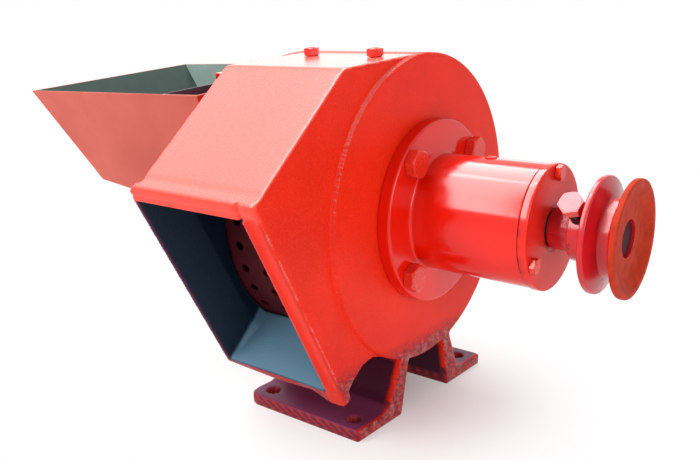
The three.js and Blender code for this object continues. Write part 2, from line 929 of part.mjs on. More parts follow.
// The balls and the cage that spaces them
function ballCage(start) {
  const centre = start + bearingWidth / 2;
  const band = ring(
    ballCircleRadius - cageThickness / 2,
    ballCircleRadius + cageThickness / 2,
    centre - cageWidth / 2,
    centre + cageWidth / 2,
  );
  const balls = anglesOf(ballCount).map((angle) => {
    const ball = new THREE.SphereGeometry(ballRadius, ballSides, ballRows);
    return solid(ball.translate(centre, ...pointAt(ballCircleRadius, angle)));
  });
  return join(band, ...balls);
}

[
  ["chamber", chamberBearingPlace],
  ["pulley", pulleyBearingPlace],
].forEach(([side, start]) => {
  const outer = raceProfile(start, outerRingInnerRadius, bearingRadius, false);
  const inner = raceProfile(start, shaftRadius + seat, innerRingRadius, true);
  piece(`${side}_bearing_outer_ring`, turned(outer, ringSides), "bearingSteel");
  piece(`${side}_bearing_inner_ring`, turned(inner, ringSides), "bearingSteel");
  piece(`${side}_bearing_balls`, ballCage(start), "bearingSteel");
});

// The sleeve that keeps the two inner rings apart
piece(
  "bearing_sleeve",
  ring(
    shaftRadius + seat,
    innerRingRadius,
    chamberBearingPlace + bearingWidth + seat,
    pulleyBearingPlace - seat,
  ),
  "steel",
);

// Keys stand half in the shaft and half in what it drives
const keyTop = shaftRadius + keyHeight / 2;
const keySlot = (from, to) =>
  block(
    [from - seat, to + seat],
    [-keyWidth / 2 - seat, keyWidth / 2 + seat],
    [keyTop - keyHeight - seat, keyTop + seat],
  );
const pulleyKeyStart = pulleyPlace + keyEndInset;
const rotorHubEnd = -collarStart - seat;
const rotorHubStart = rotorHubEnd - rotorHubLength;
const rotorKeyEnd = rotorHubEnd - keyEndInset;

function shaft() {
  const stepPlace = rotorHubStart + keyEndInset;
  const body = turned([
    [stepPlace - threadLength - keyEndInset, 0],
    [stepPlace - threadLength - keyEndInset, threadRadius],
    [stepPlace, threadRadius],
    [stepPlace, shaftRadius],
    [-collarStart, shaftRadius],
    [-collarStart, collarRadius],
    [chamberBearingPlace - seat, collarRadius],
    [chamberBearingPlace - seat, shaftRadius],
    [shaftEndPlace, shaftRadius],
    [shaftEndPlace, 0],
  ], ringSides);
  return cut(
    body,
    keySlot(pulleyKeyStart, shaftEndPlace + overrun),
    keySlot(rotorKeyEnd - rotorKeyLength, rotorKeyEnd),
  );
}

piece("shaft", shaft(), "steel");

const keyBlock = (from, to) =>
  block([from, to], [-keyWidth / 2, keyWidth / 2], [keyTop - keyHeight, keyTop]);
piece("pulley_key", keyBlock(pulleyKeyStart, pulleyKeyStart + pulleyKeyLength), "steel");
piece("rotor_key", keyBlock(rotorKeyEnd - rotorKeyLength, rotorKeyEnd), "steel");

function pulley() {
  const bore = shaftRadius + seat;
  const frontRim = pulleyPlace + pulleyHubLength;
  const grooveStart = frontRim + pulleyRimThickness;
  const grooveEnd = grooveStart + grooveWidth;
  const face = grooveEnd + pulleyRimThickness;
  const root = pulleyRadius - grooveDepth;
  const slope = grooveDepth * Math.tan(grooveWallAngle * degrees);
  const dish = face - pulleyDishDepth;
  const body = turned(
    [
      [pulleyPlace, bore],
      [pulleyPlace, pulleyHubRadius],
      [frontRim, pulleyHubRadius],
      [frontRim, pulleyRadius],
      [grooveStart, pulleyRadius],
      [grooveStart + slope, root],
      [grooveEnd - slope, root],
      [grooveEnd, pulleyRadius],
      [face, pulleyRadius],
      [face, pulleyDishRadius],
      [dish, pulleyDishRadius - pulleyRimThickness / 2],
      [dish, pulleyEyeRadius],
      [middle(dish, face), pulleyEyeRadius],
      [middle(dish, face), bore],
      [pulleyPlace, bore],
    ],
    housingSides,
  );
  const setHole = placed(
    post(setBoltRadius + seat, 0, pulleyHubRadius + overrun, [pulleyPlace + setBoltPlace, 0], boltSides),
    setBoltAngle - 90,
  );
  return cut(body, keySlot(pulleyPlace - overrun, face + overrun), setHole);
}

piece("belt_pulley", pulley(), "enamel");

function setBolt() {
  const length = setBoltReach - setBoltHead - shaftRadius - seat;
  const bolt = hexBolt(setBoltRadius, length, setBoltAcross, setBoltHead);
  const upright = geometryOf(bolt).rotateY(-90 * degrees);
  const x = pulleyPlace + setBoltPlace;
  return placed(solid(upright.translate(x, 0, setBoltReach - setBoltHead)), setBoltAngle - 90);
}

piece("pulley_set_bolt", setBolt(), "enamel");

// Rotor disc with its hub, a ring of pegs, and the beaters bolted to its face
const discBack = rotorHubEnd - rotorDiscSetback;
const discFace = discBack - rotorDiscThickness;
const statorTips = -casingDepth + statorThickness + statorToothHeight;

function rotorDisc() {
  const body = turned(
    [
      [rotorHubStart, shaftRadius + seat],
      [rotorHubStart, rotorHubRadius],
      [discFace, rotorHubRadius],
      [discFace, rotorDiscRadius],
      [discBack, rotorDiscRadius],
      [discBack, rotorHubRadius],
      [rotorHubEnd, rotorHubRadius],
      [rotorHubEnd, shaftRadius + seat],
      [rotorHubStart, shaftRadius + seat],
    ],
    housingSides,
  );
  const pegs = anglesOf(rotorPegCount, 30).map((angle) =>
    rodAt(rotorPegRadius, statorTips + rotorPegGap, discBack, pointAt(rotorPegCircle, angle), pegSides),
  );
  const holes = anglesOf(beaterCount).map((angle) =>
    rodAt(
      beaterBoltRadius + seat,
      discFace - overrun,
      discBack + overrun,
      pointAt(beaterBoltCircle, angle),
    ),
  );
  const slot = keySlot(rotorHubStart - overrun, rotorHubEnd + overrun);
  return cut(join(body, ...pegs), slot, ...holes);
}

piece("rotor_disc", rotorDisc(), "castIron");

anglesOf(beaterCount).forEach((angle, i) => {
  const face = discFace - seat;
  const bar = block(
    [statorTips + beaterGap, face],
    [beaterInnerRadius, beaterOuterRadius],
    [-beaterThickness / 2, beaterThickness / 2],
  );
  const bored = beaterBoltLength - rotorDiscThickness + running;
  const hole = rodAt(beaterBoltRadius + seat, face - bored, face + overrun, [beaterBoltCircle, 0]);
  piece(`beater_${i + 1}`, cut(bar, hole), "steel").rotation.x = angle * degrees;
  const bolt = hexBolt(beaterBoltRadius, beaterBoltLength, beaterBoltAcross, beaterBoltHead);
  const mesh = piece(`beater_bolt_${i + 1}`, bolt, "steel");
  mesh.position.set(discBack + seat, ...pointAt(beaterBoltCircle, angle));
});

const washerEnd = rotorHubStart - seat;
const washerStart = washerEnd - rotorWasherThickness;
piece(
  "rotor_washer",
  ring(threadRadius + seat, rotorWasherRadius, washerStart, washerEnd, rodSides),
  "steel",
);
piece(
  "rotor_nut",
  cut(
    hexagon(rotorNutAcross, washerStart - seat, washerStart - seat - rotorNutHeight),
    disc(threadRadius + seat, washerStart - rotorNutHeight - overrun, washerStart + overrun),
  ),
  "steel",
);

// Door: a ribbed plate with the feed throat, a knuckle at the rear and an ear for the clamp
const doorFace = -casingDepth - seat;
const doorBack = doorFace - doorThickness;
const earFace = clampBossFace - seat;
const earBack = earFace - doorThickness;
const throatEnd = doorBack - throatLength;
const turnedHopper = (made) => placed(made, hopperTurn);

function door() {
  const body = turned(
    [
      [throatEnd, 0],
      [throatEnd, throatFlangeRadius],
      [throatEnd + throatFlangeThickness, throatFlangeRadius],
      [throatEnd + throatFlangeThickness, throatRadius + throatWall],
      [doorBack, throatRadius + throatWall],
      [doorBack, doorRadius - doorRimWidth],
      [doorBack - doorRimHeight, doorRadius - doorRimWidth],
      [doorBack - doorRimHeight, doorRadius],
      [doorFace, doorRadius],
      [doorFace, 0],
    ],
    drumSides,
  );
  const rib = wall(
    [
      [doorBack + seat, throatRadius + throatWall / 2],
      [doorBack + seat, doorRadius - doorRimWidth / 2],
      [doorBack - doorRimHeight, doorRadius - doorRimWidth / 2],
      [doorBack - doorRibHeight, throatRadius + throatWall / 2],
    ],
    -doorRibThickness / 2,
    doorRibThickness / 2,
  );
  const ribs = anglesOf(doorRibCount, 30).map((angle) => placed(rib, angle));
  const ear = join(
    rodAt(clampEarRadius, earBack, earFace, clampSpot, rodSides),
    block(
      [earBack, earFace],
      [-clampReach, -doorRadius + doorRimWidth],
      [-clampEarRadius, clampEarRadius],
    ),
  );
  const knuckle = join(
    post(knuckleRadius, -doorKnuckleHalf, doorKnuckleHalf, hingeSpot),
    block(
      [doorBack, doorFace],
      [doorRadius - doorRimWidth, hingeReach],
      [-doorKnuckleHalf, doorKnuckleHalf],
    ),
  );
  const boltHoles = anglesOf(4).map((angle) =>
    turnedHopper(
      rodAt(
        hopperBoltRadius + seat,
        throatEnd - overrun,
        throatEnd + throatFlangeThickness + overrun / 2,
        pointAt(hopperBoltCircle, angle),
      ),
    ),
  );
  const statorHoles = anglesOf(statorScrewCount, 90).map((angle) =>
    rodAt(
      statorScrewRadius + seat,
      doorFace - statorScrewBite - running,
      doorFace + overrun,
      pointAt(statorScrewCircle, angle),
    ),
  );
  return cut(
    join(body, ear, knuckle, ...ribs),
    disc(throatRadius, throatEnd - overrun, doorFace + overrun, housingSides),
    post(
      hingePinRadius + running,
      -doorKnuckleHalf - overrun,
      doorKnuckleHalf + overrun,
      hingeSpot,
    ),
    rodAt(clampScrewRadius + running, earBack - overrun, earFace + overrun, clampSpot),
    ...boltHoles,
    ...statorHoles,
  );
}

piece("door", door(), "castEnamel");

const pinLow = -casingKnuckleHigh - hingePinHeadHeight;
const pinHead = casingKnuckleHigh + seat;
piece(
  "hinge_pin",
  join(
    post(hingePinRadius, pinLow, pinHead + hingePinHeadHeight / 2, hingeSpot),
    post(hingePinHeadRadius, pinHead, pinHead + hingePinHeadHeight, hingeSpot),
  ),
  "steel",
);

// Clamp screw, its washer and the tommy bar through its hub
const washerFace = earBack - seat;
const hubFace = washerFace - clampWasherThickness - seat;
const hubEnd = hubFace - clampHubLength;
const tommyPlace = middle(hubFace, hubEnd);
piece(
  "clamp_washer",
  placed(
    ring(
      clampScrewRadius + seat,
      clampWasherRadius,
      washerFace - clampWasherThickness,
      washerFace,
      rodSides,
    ),
    0,
    [0, ...clampSpot],
  ),
  "steel",
);
const clampScrew = join(
  rodAt(clampScrewRadius, hubEnd + overrun, clampBossFace + clampScrewBite, clampSpot),
  rodAt(clampHubRadius, hubEnd, hubFace, clampSpot, rodSides),
);
const tommyHole = post(
  tommyBarRadius + seat,
  -clampHubRadius - overrun,
  clampHubRadius + overrun,
  [tommyPlace, -clampReach],
  boltSides,
);
piece("clamp_screw", cut(clampScrew, tommyHole), "steel");

function tommyBar() {
  const half = tommyBarLength / 2;
  const balls = [-half, half].map((z) => {
    const ball = new THREE.SphereGeometry(tommyBallRadius, ballSides, ballRows);
    return solid(ball.translate(tommyPlace, -clampReach, z));
  });
  return join(post(tommyBarRadius, -half, half, [tommyPlace, -clampReach], boltSides), ...balls);
}

piece("clamp_tommy_bar", tommyBar(), "steel");

// Fixed toothed disc on the inner face of the door
const statorBack = doorFace + seat;
const statorFace = statorBack + statorThickness;

function stator() {
  const plateRing = ring(throatRadius, statorRadius, statorBack, statorFace, drumSides);
  const tooth = block(
    [statorFace - overrun, statorFace + statorToothHeight],
    [statorToothInner, statorRadius - statorToothWidth],
    [-statorToothWidth / 2, statorToothWidth / 2],
  );
  const teeth = anglesOf(statorToothCount).map((angle) => placed(tooth, angle));
  const holes = anglesOf(statorScrewCount, 90).flatMap((angle) => {
    const spot = pointAt(statorScrewCircle, angle);
    return [
      rodAt(statorScrewRadius + seat, statorBack - overrun, statorFace + overrun, spot),
      rodAt(
        statorScrewHeadRadius + seat,
        statorFace - statorScrewHead - seat,
        statorFace + overrun,
        spot,
      ),
    ];
  });
  return cut(join(plateRing, ...teeth), ...holes);
}

piece("fixed_toothed_disc", stator(), "castIron");

anglesOf(statorScrewCount, 90).forEach((angle, i) => {
  const length = statorThickness - statorScrewHead + seat + statorScrewBite;
  const screw = join(
    disc(statorScrewRadius, -length, overrun / 2, boltSides),
    disc(statorScrewHeadRadius, 0, statorScrewHead, boltSides),
  );
  const mesh = piece(`stator_screw_${i + 1}`, screw, "steel");
  mesh.position.set(statorFace - statorScrewHead, ...pointAt(statorScrewCircle, angle));
});

// Hopper frame: turned about the shaft axis
const hopperGroup = new THREE.Group();
hopperGroup.rotation.x = hopperTurn * degrees;
mill.add(hopperGroup);

const hopperBack = throatEnd - seat;
const hopperTip = hopperBack - hopperLength;
const rimAt = (x) => hopperRimHeight + (x - hopperTip) * Math.tan(hopperRimSlope * degrees);
const floorCorner = hopperTip + (hopperRimHeight - hopperFloorHeight) * Math.tan(hopperEndLean * degrees);
const partitionPlace = hopperBack - partitionInset;
const floorAt = (x) => hopperFloorHeight - (x - floorCorner) * Math.tan(hopperFloorSlope * degrees);
const inletDrop = -throatRadius - hopperSheet;
const halfWidthAt = (z) =>
  hopperRimHalfWidth - (hopperRimHeight - z) * Math.tan(hopperSideLean * degrees);

// The hopper's side view below a given extra height over the rim
const hopperSide = (extra) => [
  [hopperTip - extra * Math.tan(hopperEndLean * degrees), rimAt(hopperTip) + extra],
  [floorCorner, hopperFloorHeight],
  [partitionPlace, floorAt(partitionPlace)],
  [hopperBack, inletDrop],
  [hopperBack, rimAt(hopperBack) + extra],
];

// The hopper's end view: narrower towards the floor
function hopperEndView() {
  const low = inletDrop - overrun;
  const high = rimAt(hopperBack) + hopperRimSlope + overrun * 2;
  return [
    [-halfWidthAt(low), low],
    [halfWidthAt(low), low],
    [halfWidthAt(high), high],
    [-halfWidthAt(high), high],
  ];
}

const hopperReach = hopperRimHalfWidth * 2;
const hopperOuter = common(
  wall(hopperSide(0), -hopperReach, hopperReach),
  slab(hopperEndView(), hopperTip - overrun, hopperBack + overrun),
);
const hopperInner = common(
  wall(inset(hopperSide(overrun), hopperSheet), -hopperReach, hopperReach),
  slab(inset(hopperEndView(), hopperSheet), hopperTip - overrun * 2, hopperBack + overrun),
);
const partitionSpan = [partitionPlace - hopperSheet / 2, partitionPlace + hopperSheet / 2];
const gateBack = partitionSpan[1] + seat;
const gateFront = gateBack + gateThickness;
const gateFoot = floorAt(partitionPlace) + hopperSheet + seat;

function hopper() {
  const windowFloor = floorAt(partitionPlace) + hopperSheet;
  const window = block(
    [partitionSpan[0] - overrun, partitionSpan[1] + overrun],
    [-windowWidth / 2, windowWidth / 2],
    [windowFloor, windowFloor + windowHeight],
  );
  const partition = cut(
    common(block(partitionSpan, [-hopperReach, hopperReach], [inletDrop, hopperReach]), hopperOuter),
    window,
  );
  const guide = (side) => {
    const inner = gateWidth / 2 + running;
    const low = Math.min(side * inner, side * (inner + guideThickness));
    const lipLow = Math.min(side * (inner - guideLip), side * (inner + guideThickness));
    const lipStart = gateFront + running;
    return join(
      block([partitionPlace, lipStart + guideSheet], [low, low + guideThickness], [guideLow, guideHigh]),
      block(
        [lipStart, lipStart + guideSheet],
        [lipLow, lipLow + guideThickness + guideLip],
        [guideLow, guideHigh],
      ),
    );
  };
  const backPlate = disc(throatFlangeRadius, hopperBack - hopperSheet, hopperBack, housingSides);
  const holes = anglesOf(4).map((angle) =>
    rodAt(
      hopperBoltRadius + seat,
      hopperBack - hopperSheet - overrun,
      hopperBack + overrun,
      pointAt(hopperBoltCircle, angle),
    ),
  );
  const inlet = disc(
    throatRadius,
    hopperBack - hopperSheet - overrun / 2,
    hopperBack + overrun,
    housingSides,
  );
  return cut(
    join(cut(hopperOuter, hopperInner), partition, guide(-1), guide(1), backPlate),
    inlet,
    ...holes,
  );
}

piece("hopper", hopper(), "sheetEnamel", hopperGroup);

anglesOf(4).forEach((angle, i) => {
  const length = hopperSheet + seat * 2 + throatFlangeThickness;
  const bolt = hexBolt(hopperBoltRadius, length, hopperBoltAcross, hopperBoltHead);
  const facing = solid(geometryOf(bolt).rotateZ(180 * degrees));
  const mesh = piece(`hopper_bolt_${i + 1}`, facing, "steel", hopperGroup);
  mesh.position.set(hopperBack - hopperSheet - seat, ...pointAt(hopperBoltCircle, angle));
});

// Feed gate: a plate that slides up over the window, with its top edge folded into a handle
const gateTop = rimAt(partitionPlace) + gateProud;
piece(
  "feed_gate",
  join(
    block([gateBack, gateFront], [-gateWidth / 2, gateWidth / 2], [gateFoot, gateTop]),
    block(
      [gateBack, gateBack + gateHandleDepth],
      [-gateWidth / 2, gateWidth / 2],
      [gateTop - gateThickness, gateTop],
    ),
  ),
  "enamel",
  hopperGroup,
);

// The mill stands with its soles on the ground plane, centred under its own outline
mill.position.z = axisHeight;
grinder.updateMatrixWorld(true);
const centre = new THREE.Box3().setFromObject(grinder, true).getCenter(new THREE.Vector3());
mill.position.x = -centre.x;
mill.position.y = -centre.y;
grinder.updateMatrixWorld(true);

export default grinder;
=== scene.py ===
# %% [markdown]
# # A powder grinder for grain and spices
# The machine is a small belt-driven disc mill. A cast drum holds the grinding discs, a sheet
# hopper on the hinged door feeds them, a half-ring screen lets the fine powder through, and a
# hood lets it fall out at the side. A barrel with two bearings carries the shaft and its pulley.
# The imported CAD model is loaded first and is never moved: every new surface is fitted to it.

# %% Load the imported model
import json
import math

import bmesh
import bpy
import numpy as np
from mathutils import Matrix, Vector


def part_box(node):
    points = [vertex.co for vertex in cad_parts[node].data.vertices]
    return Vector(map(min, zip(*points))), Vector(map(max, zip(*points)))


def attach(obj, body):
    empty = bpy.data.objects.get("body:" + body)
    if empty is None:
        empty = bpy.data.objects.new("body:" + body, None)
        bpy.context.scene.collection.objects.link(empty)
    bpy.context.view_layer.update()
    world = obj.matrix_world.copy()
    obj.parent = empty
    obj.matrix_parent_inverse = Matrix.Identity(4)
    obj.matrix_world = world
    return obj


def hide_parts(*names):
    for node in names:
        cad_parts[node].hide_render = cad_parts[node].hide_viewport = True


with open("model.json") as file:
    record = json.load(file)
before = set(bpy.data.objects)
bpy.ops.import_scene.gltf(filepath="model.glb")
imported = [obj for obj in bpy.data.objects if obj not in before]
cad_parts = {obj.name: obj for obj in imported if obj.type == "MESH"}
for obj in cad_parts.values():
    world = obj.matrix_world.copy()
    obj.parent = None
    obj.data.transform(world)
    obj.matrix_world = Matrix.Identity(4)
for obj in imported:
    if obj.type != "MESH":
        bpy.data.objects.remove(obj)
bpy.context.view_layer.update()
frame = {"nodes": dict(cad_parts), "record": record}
nodes = frame["nodes"]

# %% [markdown]
# ## Where the shaft is
# A maker measures such a machine from its shaft and from the drum's side face that carries the
# bearing flange. Drawing every surface from that point keeps the numbers those of the workshop,
# in millimetres. The point itself is read from the CAD model, so that the two can't drift apart.

# %% The workshop's zero point
MM = 0.001
casing_box = np.array(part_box("mill_casing"))
shaft_box = np.array(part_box("shaft"))
zero_point = np.array([casing_box[1, 0], shaft_box[:, 1].mean(), shaft_box[:, 2].mean()])
print("zero point in mm:", np.round(zero_point / MM, 2))


def to_frame(points):
    """Points in millimetres from the zero point become row-frame metres: scaled, then shifted."""
    return np.asarray(points) * MM + zero_point


def from_frame(points):
    """The same step backwards: shifted, then scaled to millimetres."""
    return (np.asarray(points) - zero_point) / MM


def box_of(node):
    """A CAD node's lowest and highest corner, in millimetres from the zero point."""
    return from_frame(np.array(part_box(node)))


# %% [markdown]
# ## Surfaces from arrays
# Turned pieces, bolt heads and nuts are all the same thing to a modeller: a grid of points worked
# out from two parameters. One helper turns such a grid into a closed mesh, and each piece then
# only has to say its formula.


# %% Grids become meshes
def in_scene(name, data):
    """A new object that carries the mesh, camera or lamp data, linked into the scene."""
    made = bpy.data.objects.new(name, data)
    bpy.context.collection.objects.link(made)
    return made


def smooth_by_angle(mesh, limit):
    """Edges whose faces meet at more than the limit, in degrees, stay crisp and the rest are smooth."""
    mesh.shade_smooth()
    mesh.set_sharp_from_angle(angle=math.radians(limit))


def surface(name, grid, crisp=32):
    """The grid is an array of points, rows by columns by 3, closed both ways. Four neighbours make a face."""
    rows, columns = grid.shape[:2]
    row, column = np.meshgrid(np.arange(rows), np.arange(columns), indexing="ij")
    below, beside = (row + 1) % rows, (column + 1) % columns
    corners = [
        row * columns + column,
        row * columns + beside,
        below * columns + beside,
        below * columns + column,
    ]
    faces = np.stack(corners, axis=-1).reshape(-1, 4)
    mesh = bpy.data.meshes.new(name)
    mesh.from_pydata(to_frame(grid.reshape(-1, 3)).tolist(), [], faces.tolist())
    closed = bmesh.new()
    closed.from_mesh(mesh)
    bmesh.ops.remove_doubles(closed, verts=closed.verts, dist=2e-6)
    bmesh.ops.dissolve_degenerate(closed, edges=closed.edges, dist=2e-6)
    bmesh.ops.recalc_face_normals(closed, faces=closed.faces)
    closed.to_mesh(mesh)
    closed.free()
    smooth_by_angle(mesh, crisp)
    return in_scene(name, mesh)


def softened(corners, steps=5):
    """A closed outline whose corners are eased. Each corner is (x, y, reach): the outline leaves one edge
    at that reach before the corner and joins the next at the same reach after it, along a parabola."""
    corners = np.array([tuple(corner) + (0,) * (3 - len(corner)) for corner in corners], float)
    spots, reach = corners[:, None, :2], corners[:, None, 2:]
    share = np.linspace(0, 1, steps)[None, :, None]
    ends = []
    for shift in (1, -1):
        leg = np.roll(spots, shift, axis=0) - spots
        length = np.maximum(np.linalg.norm(leg, axis=-1, keepdims=True), 1e-9)
        ends.append(spots + leg / length * reach)
    curve = (1 - share) ** 2 * ends[0] + 2 * share * (1 - share) * spots + share**2 * ends[1]
    return curve.reshape(-1, 2)


def turned_grid(corners, sides=128):
    """A closed profile of (x, radius) carried round the X axis: (x, radius cos angle, radius sin angle)."""
    profile = softened(corners)
    angle = np.linspace(0, 2 * np.pi, sides, endpoint=False)[:, None]
    x = np.broadcast_to(profile[:, 0], (sides, len(profile)))
    return np.stack([x, profile[:, 1] * np.cos(angle), profile[:, 1] * np.sin(angle)], axis=-1)


print("a turned ring of four corners is a grid of", turned_grid([(0, 4), (0, 5), (9, 5), (9, 4)]).shape)

# %% [markdown]
# ## Dressing the CAD pieces
# Some pieces are already right in the CAD model apart from their small facets. For those a copy
# of the mesh is joined up and its edges are broken with a bevel, as a file or a coat of paint
# breaks them on the real piece. The big castings go further and are remade as one skin of even
# faces, because sand casting leaves every edge and inner corner rounded.


# %% Copies of CAD meshes
def merged_copy(node, name):
    """A CAD node's mesh is loose triangles: in the copy the doubled points become one."""
    mesh = nodes[node].data.copy()
    mesh.name = name
    joined = bmesh.new()
    joined.from_mesh(mesh)
    bmesh.ops.remove_doubles(joined, verts=joined.verts, dist=1e-6)
    joined.to_mesh(mesh)
    joined.free()
    mesh.materials.clear()
    return in_scene(name, mesh)


def eased(node, name, width, crisp=30):
    """A merged copy whose edges over the crisp angle, in degrees, are bevelled by a width in millimetres."""
    made = merged_copy(node, name)
    bevel = made.modifiers.new("eased edges", "BEVEL")
    bevel.width = width * MM
    bevel.segments = 2
    bevel.limit_method = "ANGLE"
    bevel.angle_limit = math.radians(crisp)
    smooth_by_angle(made.data, crisp)
    return made


def recast(node, name, grain, rounds, kept=1.0):
    """A casting's skin: the copy is remade with even faces one grain apart, in millimetres, then polished,
    and thinned to the kept share of its faces."""
    made = merged_copy(node, name)
    skin = made.modifiers.new("skin", "REMESH")
    skin.mode = "VOXEL"
    skin.voxel_size = grain * MM
    polish = made.modifiers.new("polish", "SMOOTH")
    polish.factor = 0.5
    polish.iterations = rounds
    if kept < 1:
        thin = made.modifiers.new("thin", "DECIMATE")
        thin.ratio = kept
    ready = made.evaluated_get(bpy.context.evaluated_depsgraph_get())
    mesh = bpy.data.meshes.new_from_object(ready)
    made.modifiers.clear()
    made.data = mesh
    mesh.shade_smooth()
    print(name, "has", len(mesh.polygons), "faces")
    return made


print("triangles of the CAD casting:", len(nodes["mill_casing"].data.polygons))

# %% [markdown]
# Blender hands out the points, centres and normals of a mesh as one flat row of numbers. Read as
# arrays in workshop millimetres, they can be moved or sorted by a formula in one step.


# %% Meshes as arrays
def points_of(mesh):
    """All points of a mesh, in millimetres from the zero point."""
    flat = np.empty(len(mesh.vertices) * 3)
    mesh.vertices.foreach_get("co", flat)
    return from_frame(flat.reshape(-1, 3))


def normals_of(mesh):
    """The normals of all points of a mesh."""
    flat = np.empty(len(mesh.vertices) * 3)
    mesh.vertex_normals.foreach_get("vector", flat)
    return flat.reshape(-1, 3)


def polygon_arrays(mesh):
    """Centres in millimetres from the zero point, and normals, of all faces."""
    centres, directions = np.empty(len(mesh.polygons) * 3), np.empty(len(mesh.polygons) * 3)
    mesh.polygons.foreach_get("center", centres)
    mesh.polygons.foreach_get("normal", directions)
    return from_frame(centres.reshape(-1, 3)), directions.reshape(-1, 3)


def put_points(mesh, points):
    """Writes the array of points back into the mesh."""
    mesh.vertices.foreach_set("co", to_frame(points).ravel())
    mesh.update()


def keep_attribute(mesh, name, values):
    """Writes one number for every point into the mesh."""
    kept = mesh.attributes.new(name, "FLOAT", "POINT")
    kept.data.foreach_set("value", np.asarray(values, dtype=np.float32))


def share_out(made, choice, *finishes):
    """Adds the finishes after the piece's own, and gives each face the one that its number names."""
    for finish in finishes:
        made.data.materials.append(finish)
    made.data.polygons.foreach_set("material_index", np.asarray(choice, dtype=np.int32))


print("points of the CAD shaft:", points_of(nodes["shaft"].data).shape)

# %% [markdown]
# ## Nodes and colours
# Materials are small networks of nodes. Colours are written as the eye reads them on a screen,
# so one function turns each to the linear values that light is worked out in. Pattern sizes are
# written in millimetres, and a noise scale is one over that size in metres.

# %% Helpers for materials
MIX_FIRST, MIX_SECOND, MIX_RESULT = 6, 7, 2  # the colour sockets of a Mix node, which share their names


def linear(code):
    """An sRGB hex colour as linear red, green, blue and alpha."""
    shares = np.array([int(code[i : i + 2], 16) for i in (1, 3, 5)]) / 255
    return (*np.where(shares <= 0.04045, shares / 12.92, ((shares + 0.055) / 1.055) ** 2.4), 1)


def per_mm(size):
    """The noise scale whose pattern repeats about every so many millimetres."""
    return 1 / (size * MM)


def node(tree, kind, inputs=(), **settings):
    """Adds one node. Settings are its properties. Inputs name sockets and give each a value or a socket
    to link, and a node that is given there stands for its first output."""
    made = tree.nodes.new(kind)
    for key, value in settings.items():
        setattr(made, key, value)
    for socket, value in dict(inputs).items():
        if isinstance(value, bpy.types.Node):
            value = value.outputs[0]
        if isinstance(value, bpy.types.NodeSocket):
            tree.links.new(value, made.inputs[socket])
        else:
            made.inputs[socket].default_value = value
    return made


def new_material(name):
    """An empty node material and its tree."""
    made = bpy.data.materials.new(name)
    made.use_nodes = True
    made.node_tree.nodes.clear()
    return made, made.node_tree


print("half grey on the screen is", round(float(linear("#808080")[0]), 3), "of the light")

# %% [markdown]
# ## Red enamel on cast iron
# The castings are dipped or brushed in a glossy alkyd enamel, an orange red that lies over the
# sand's grain. The eye sees three things: a tone that drifts a little from place to place, a fine
# orange-peel grain from the sand below, and dark specks where the paint has chipped. Alkyd enamel
# has an index of refraction near 1.5. The grain of moulding sand is about 0.3 mm, drawn here at
# 1.3 mm and more so that it shows at the size of the picture.

# %% Enamel materials
# The lighter orange on the grain's tops is a painted highlight of the sand's bumps.
GRAIN_HIGHLIGHT = "#F4603C"
CHIP = "#5A2018"
SCUFF_AND_HIGHLIGHT = "#C98F86"
DRIFT_SIZE, WEAR_SIZE = 70, 7
PAINT_INDEX = 1.5


def enamel(name, tone, deep, grain, relief, gloss, shine, chips=0.0, layers=(), grain_highlights=0.0):
    """tone and deep are the paint's lighter and darker colour, grain and relief the size and height of its
    texture in mm, gloss its roughness, shine its specular level, chips how freely it is worn, and the last
    argument how much lighter the tops of the grain are painted, which is a painted highlight. A layer is a
    colour, the mesh attribute that says where it lies, and the value at which it is full. Where the attribute
    that marks the hood's filed top nears one the casting was filed flat, so its texture all but vanishes."""
    made, tree = new_material(name)
    place = node(tree, "ShaderNodeTexCoord").outputs["Object"]
    pattern = {"Vector": place, "Detail": 4.0, "Roughness": 0.6}
    drift, sand, wear = (
        node(tree, "ShaderNodeTexNoise", pattern | {"Scale": per_mm(size)})
        for size in (DRIFT_SIZE, grain, WEAR_SIZE)
    )
    edge, filed = (
        node(tree, "ShaderNodeAttribute", attribute_name=attribute).outputs["Fac"]
        for attribute in ("edge", "plate")
    )
    # The pale scuff colour goes where worn edges meet the wear noise, and it also paints highlight lines
    # along the lip's ridges.
    scuffs_and_highlights = node(tree, "ShaderNodeMath", {0: edge, 1: wear}, operation="MULTIPLY")
    coats = [
        (deep, drift, 0.35, 0.65, 1.0),
        (GRAIN_HIGHLIGHT, sand, 0.5, 0.72, grain_highlights),
        (CHIP, wear, 0.78 - chips, 0.81 - chips, 1.0),
        (SCUFF_AND_HIGHLIGHT, scuffs_and_highlights, 0.17, 0.3, 1.0),
    ]
    for colour, attribute, full in layers:
        where = node(tree, "ShaderNodeAttribute", attribute_name=attribute).outputs["Fac"]
        coats.append((colour, where, 0.0, full, 1.0))
    skin = linear(tone)
    for colour, where, start, full, most in coats:
        limits = {"Value": where, "From Min": start, "From Max": full, "To Max": most}
        share = node(tree, "ShaderNodeMapRange", limits)
        colours = {"Factor": share, MIX_FIRST: skin, MIX_SECOND: linear(colour)}
        skin = node(tree, "ShaderNodeMix", colours, data_type="RGBA").outputs[MIX_RESULT]
    limits = {"Value": sand, "From Min": 0.3, "From Max": 0.7, "To Min": gloss - 0.04, "To Max": gloss + 0.06}
    rough = node(tree, "ShaderNodeMapRange", limits)
    limits = {"Value": filed, "To Min": relief * MM, "To Max": 0.02 * relief * MM}
    height = node(tree, "ShaderNodeMapRange", limits)
    texture = node(tree, "ShaderNodeBump", {"Height": sand, "Strength": 1.0, "Distance": height})
    finish = {
        "Base Color": skin,
        "Roughness": rough,
        "Normal": texture,
        "IOR": PAINT_INDEX,
        "Specular IOR Level": shine,
    }
    shader = node(tree, "ShaderNodeBsdfPrincipled", finish)
    node(tree, "ShaderNodeOutputMaterial", {"Surface": shader})
    return made


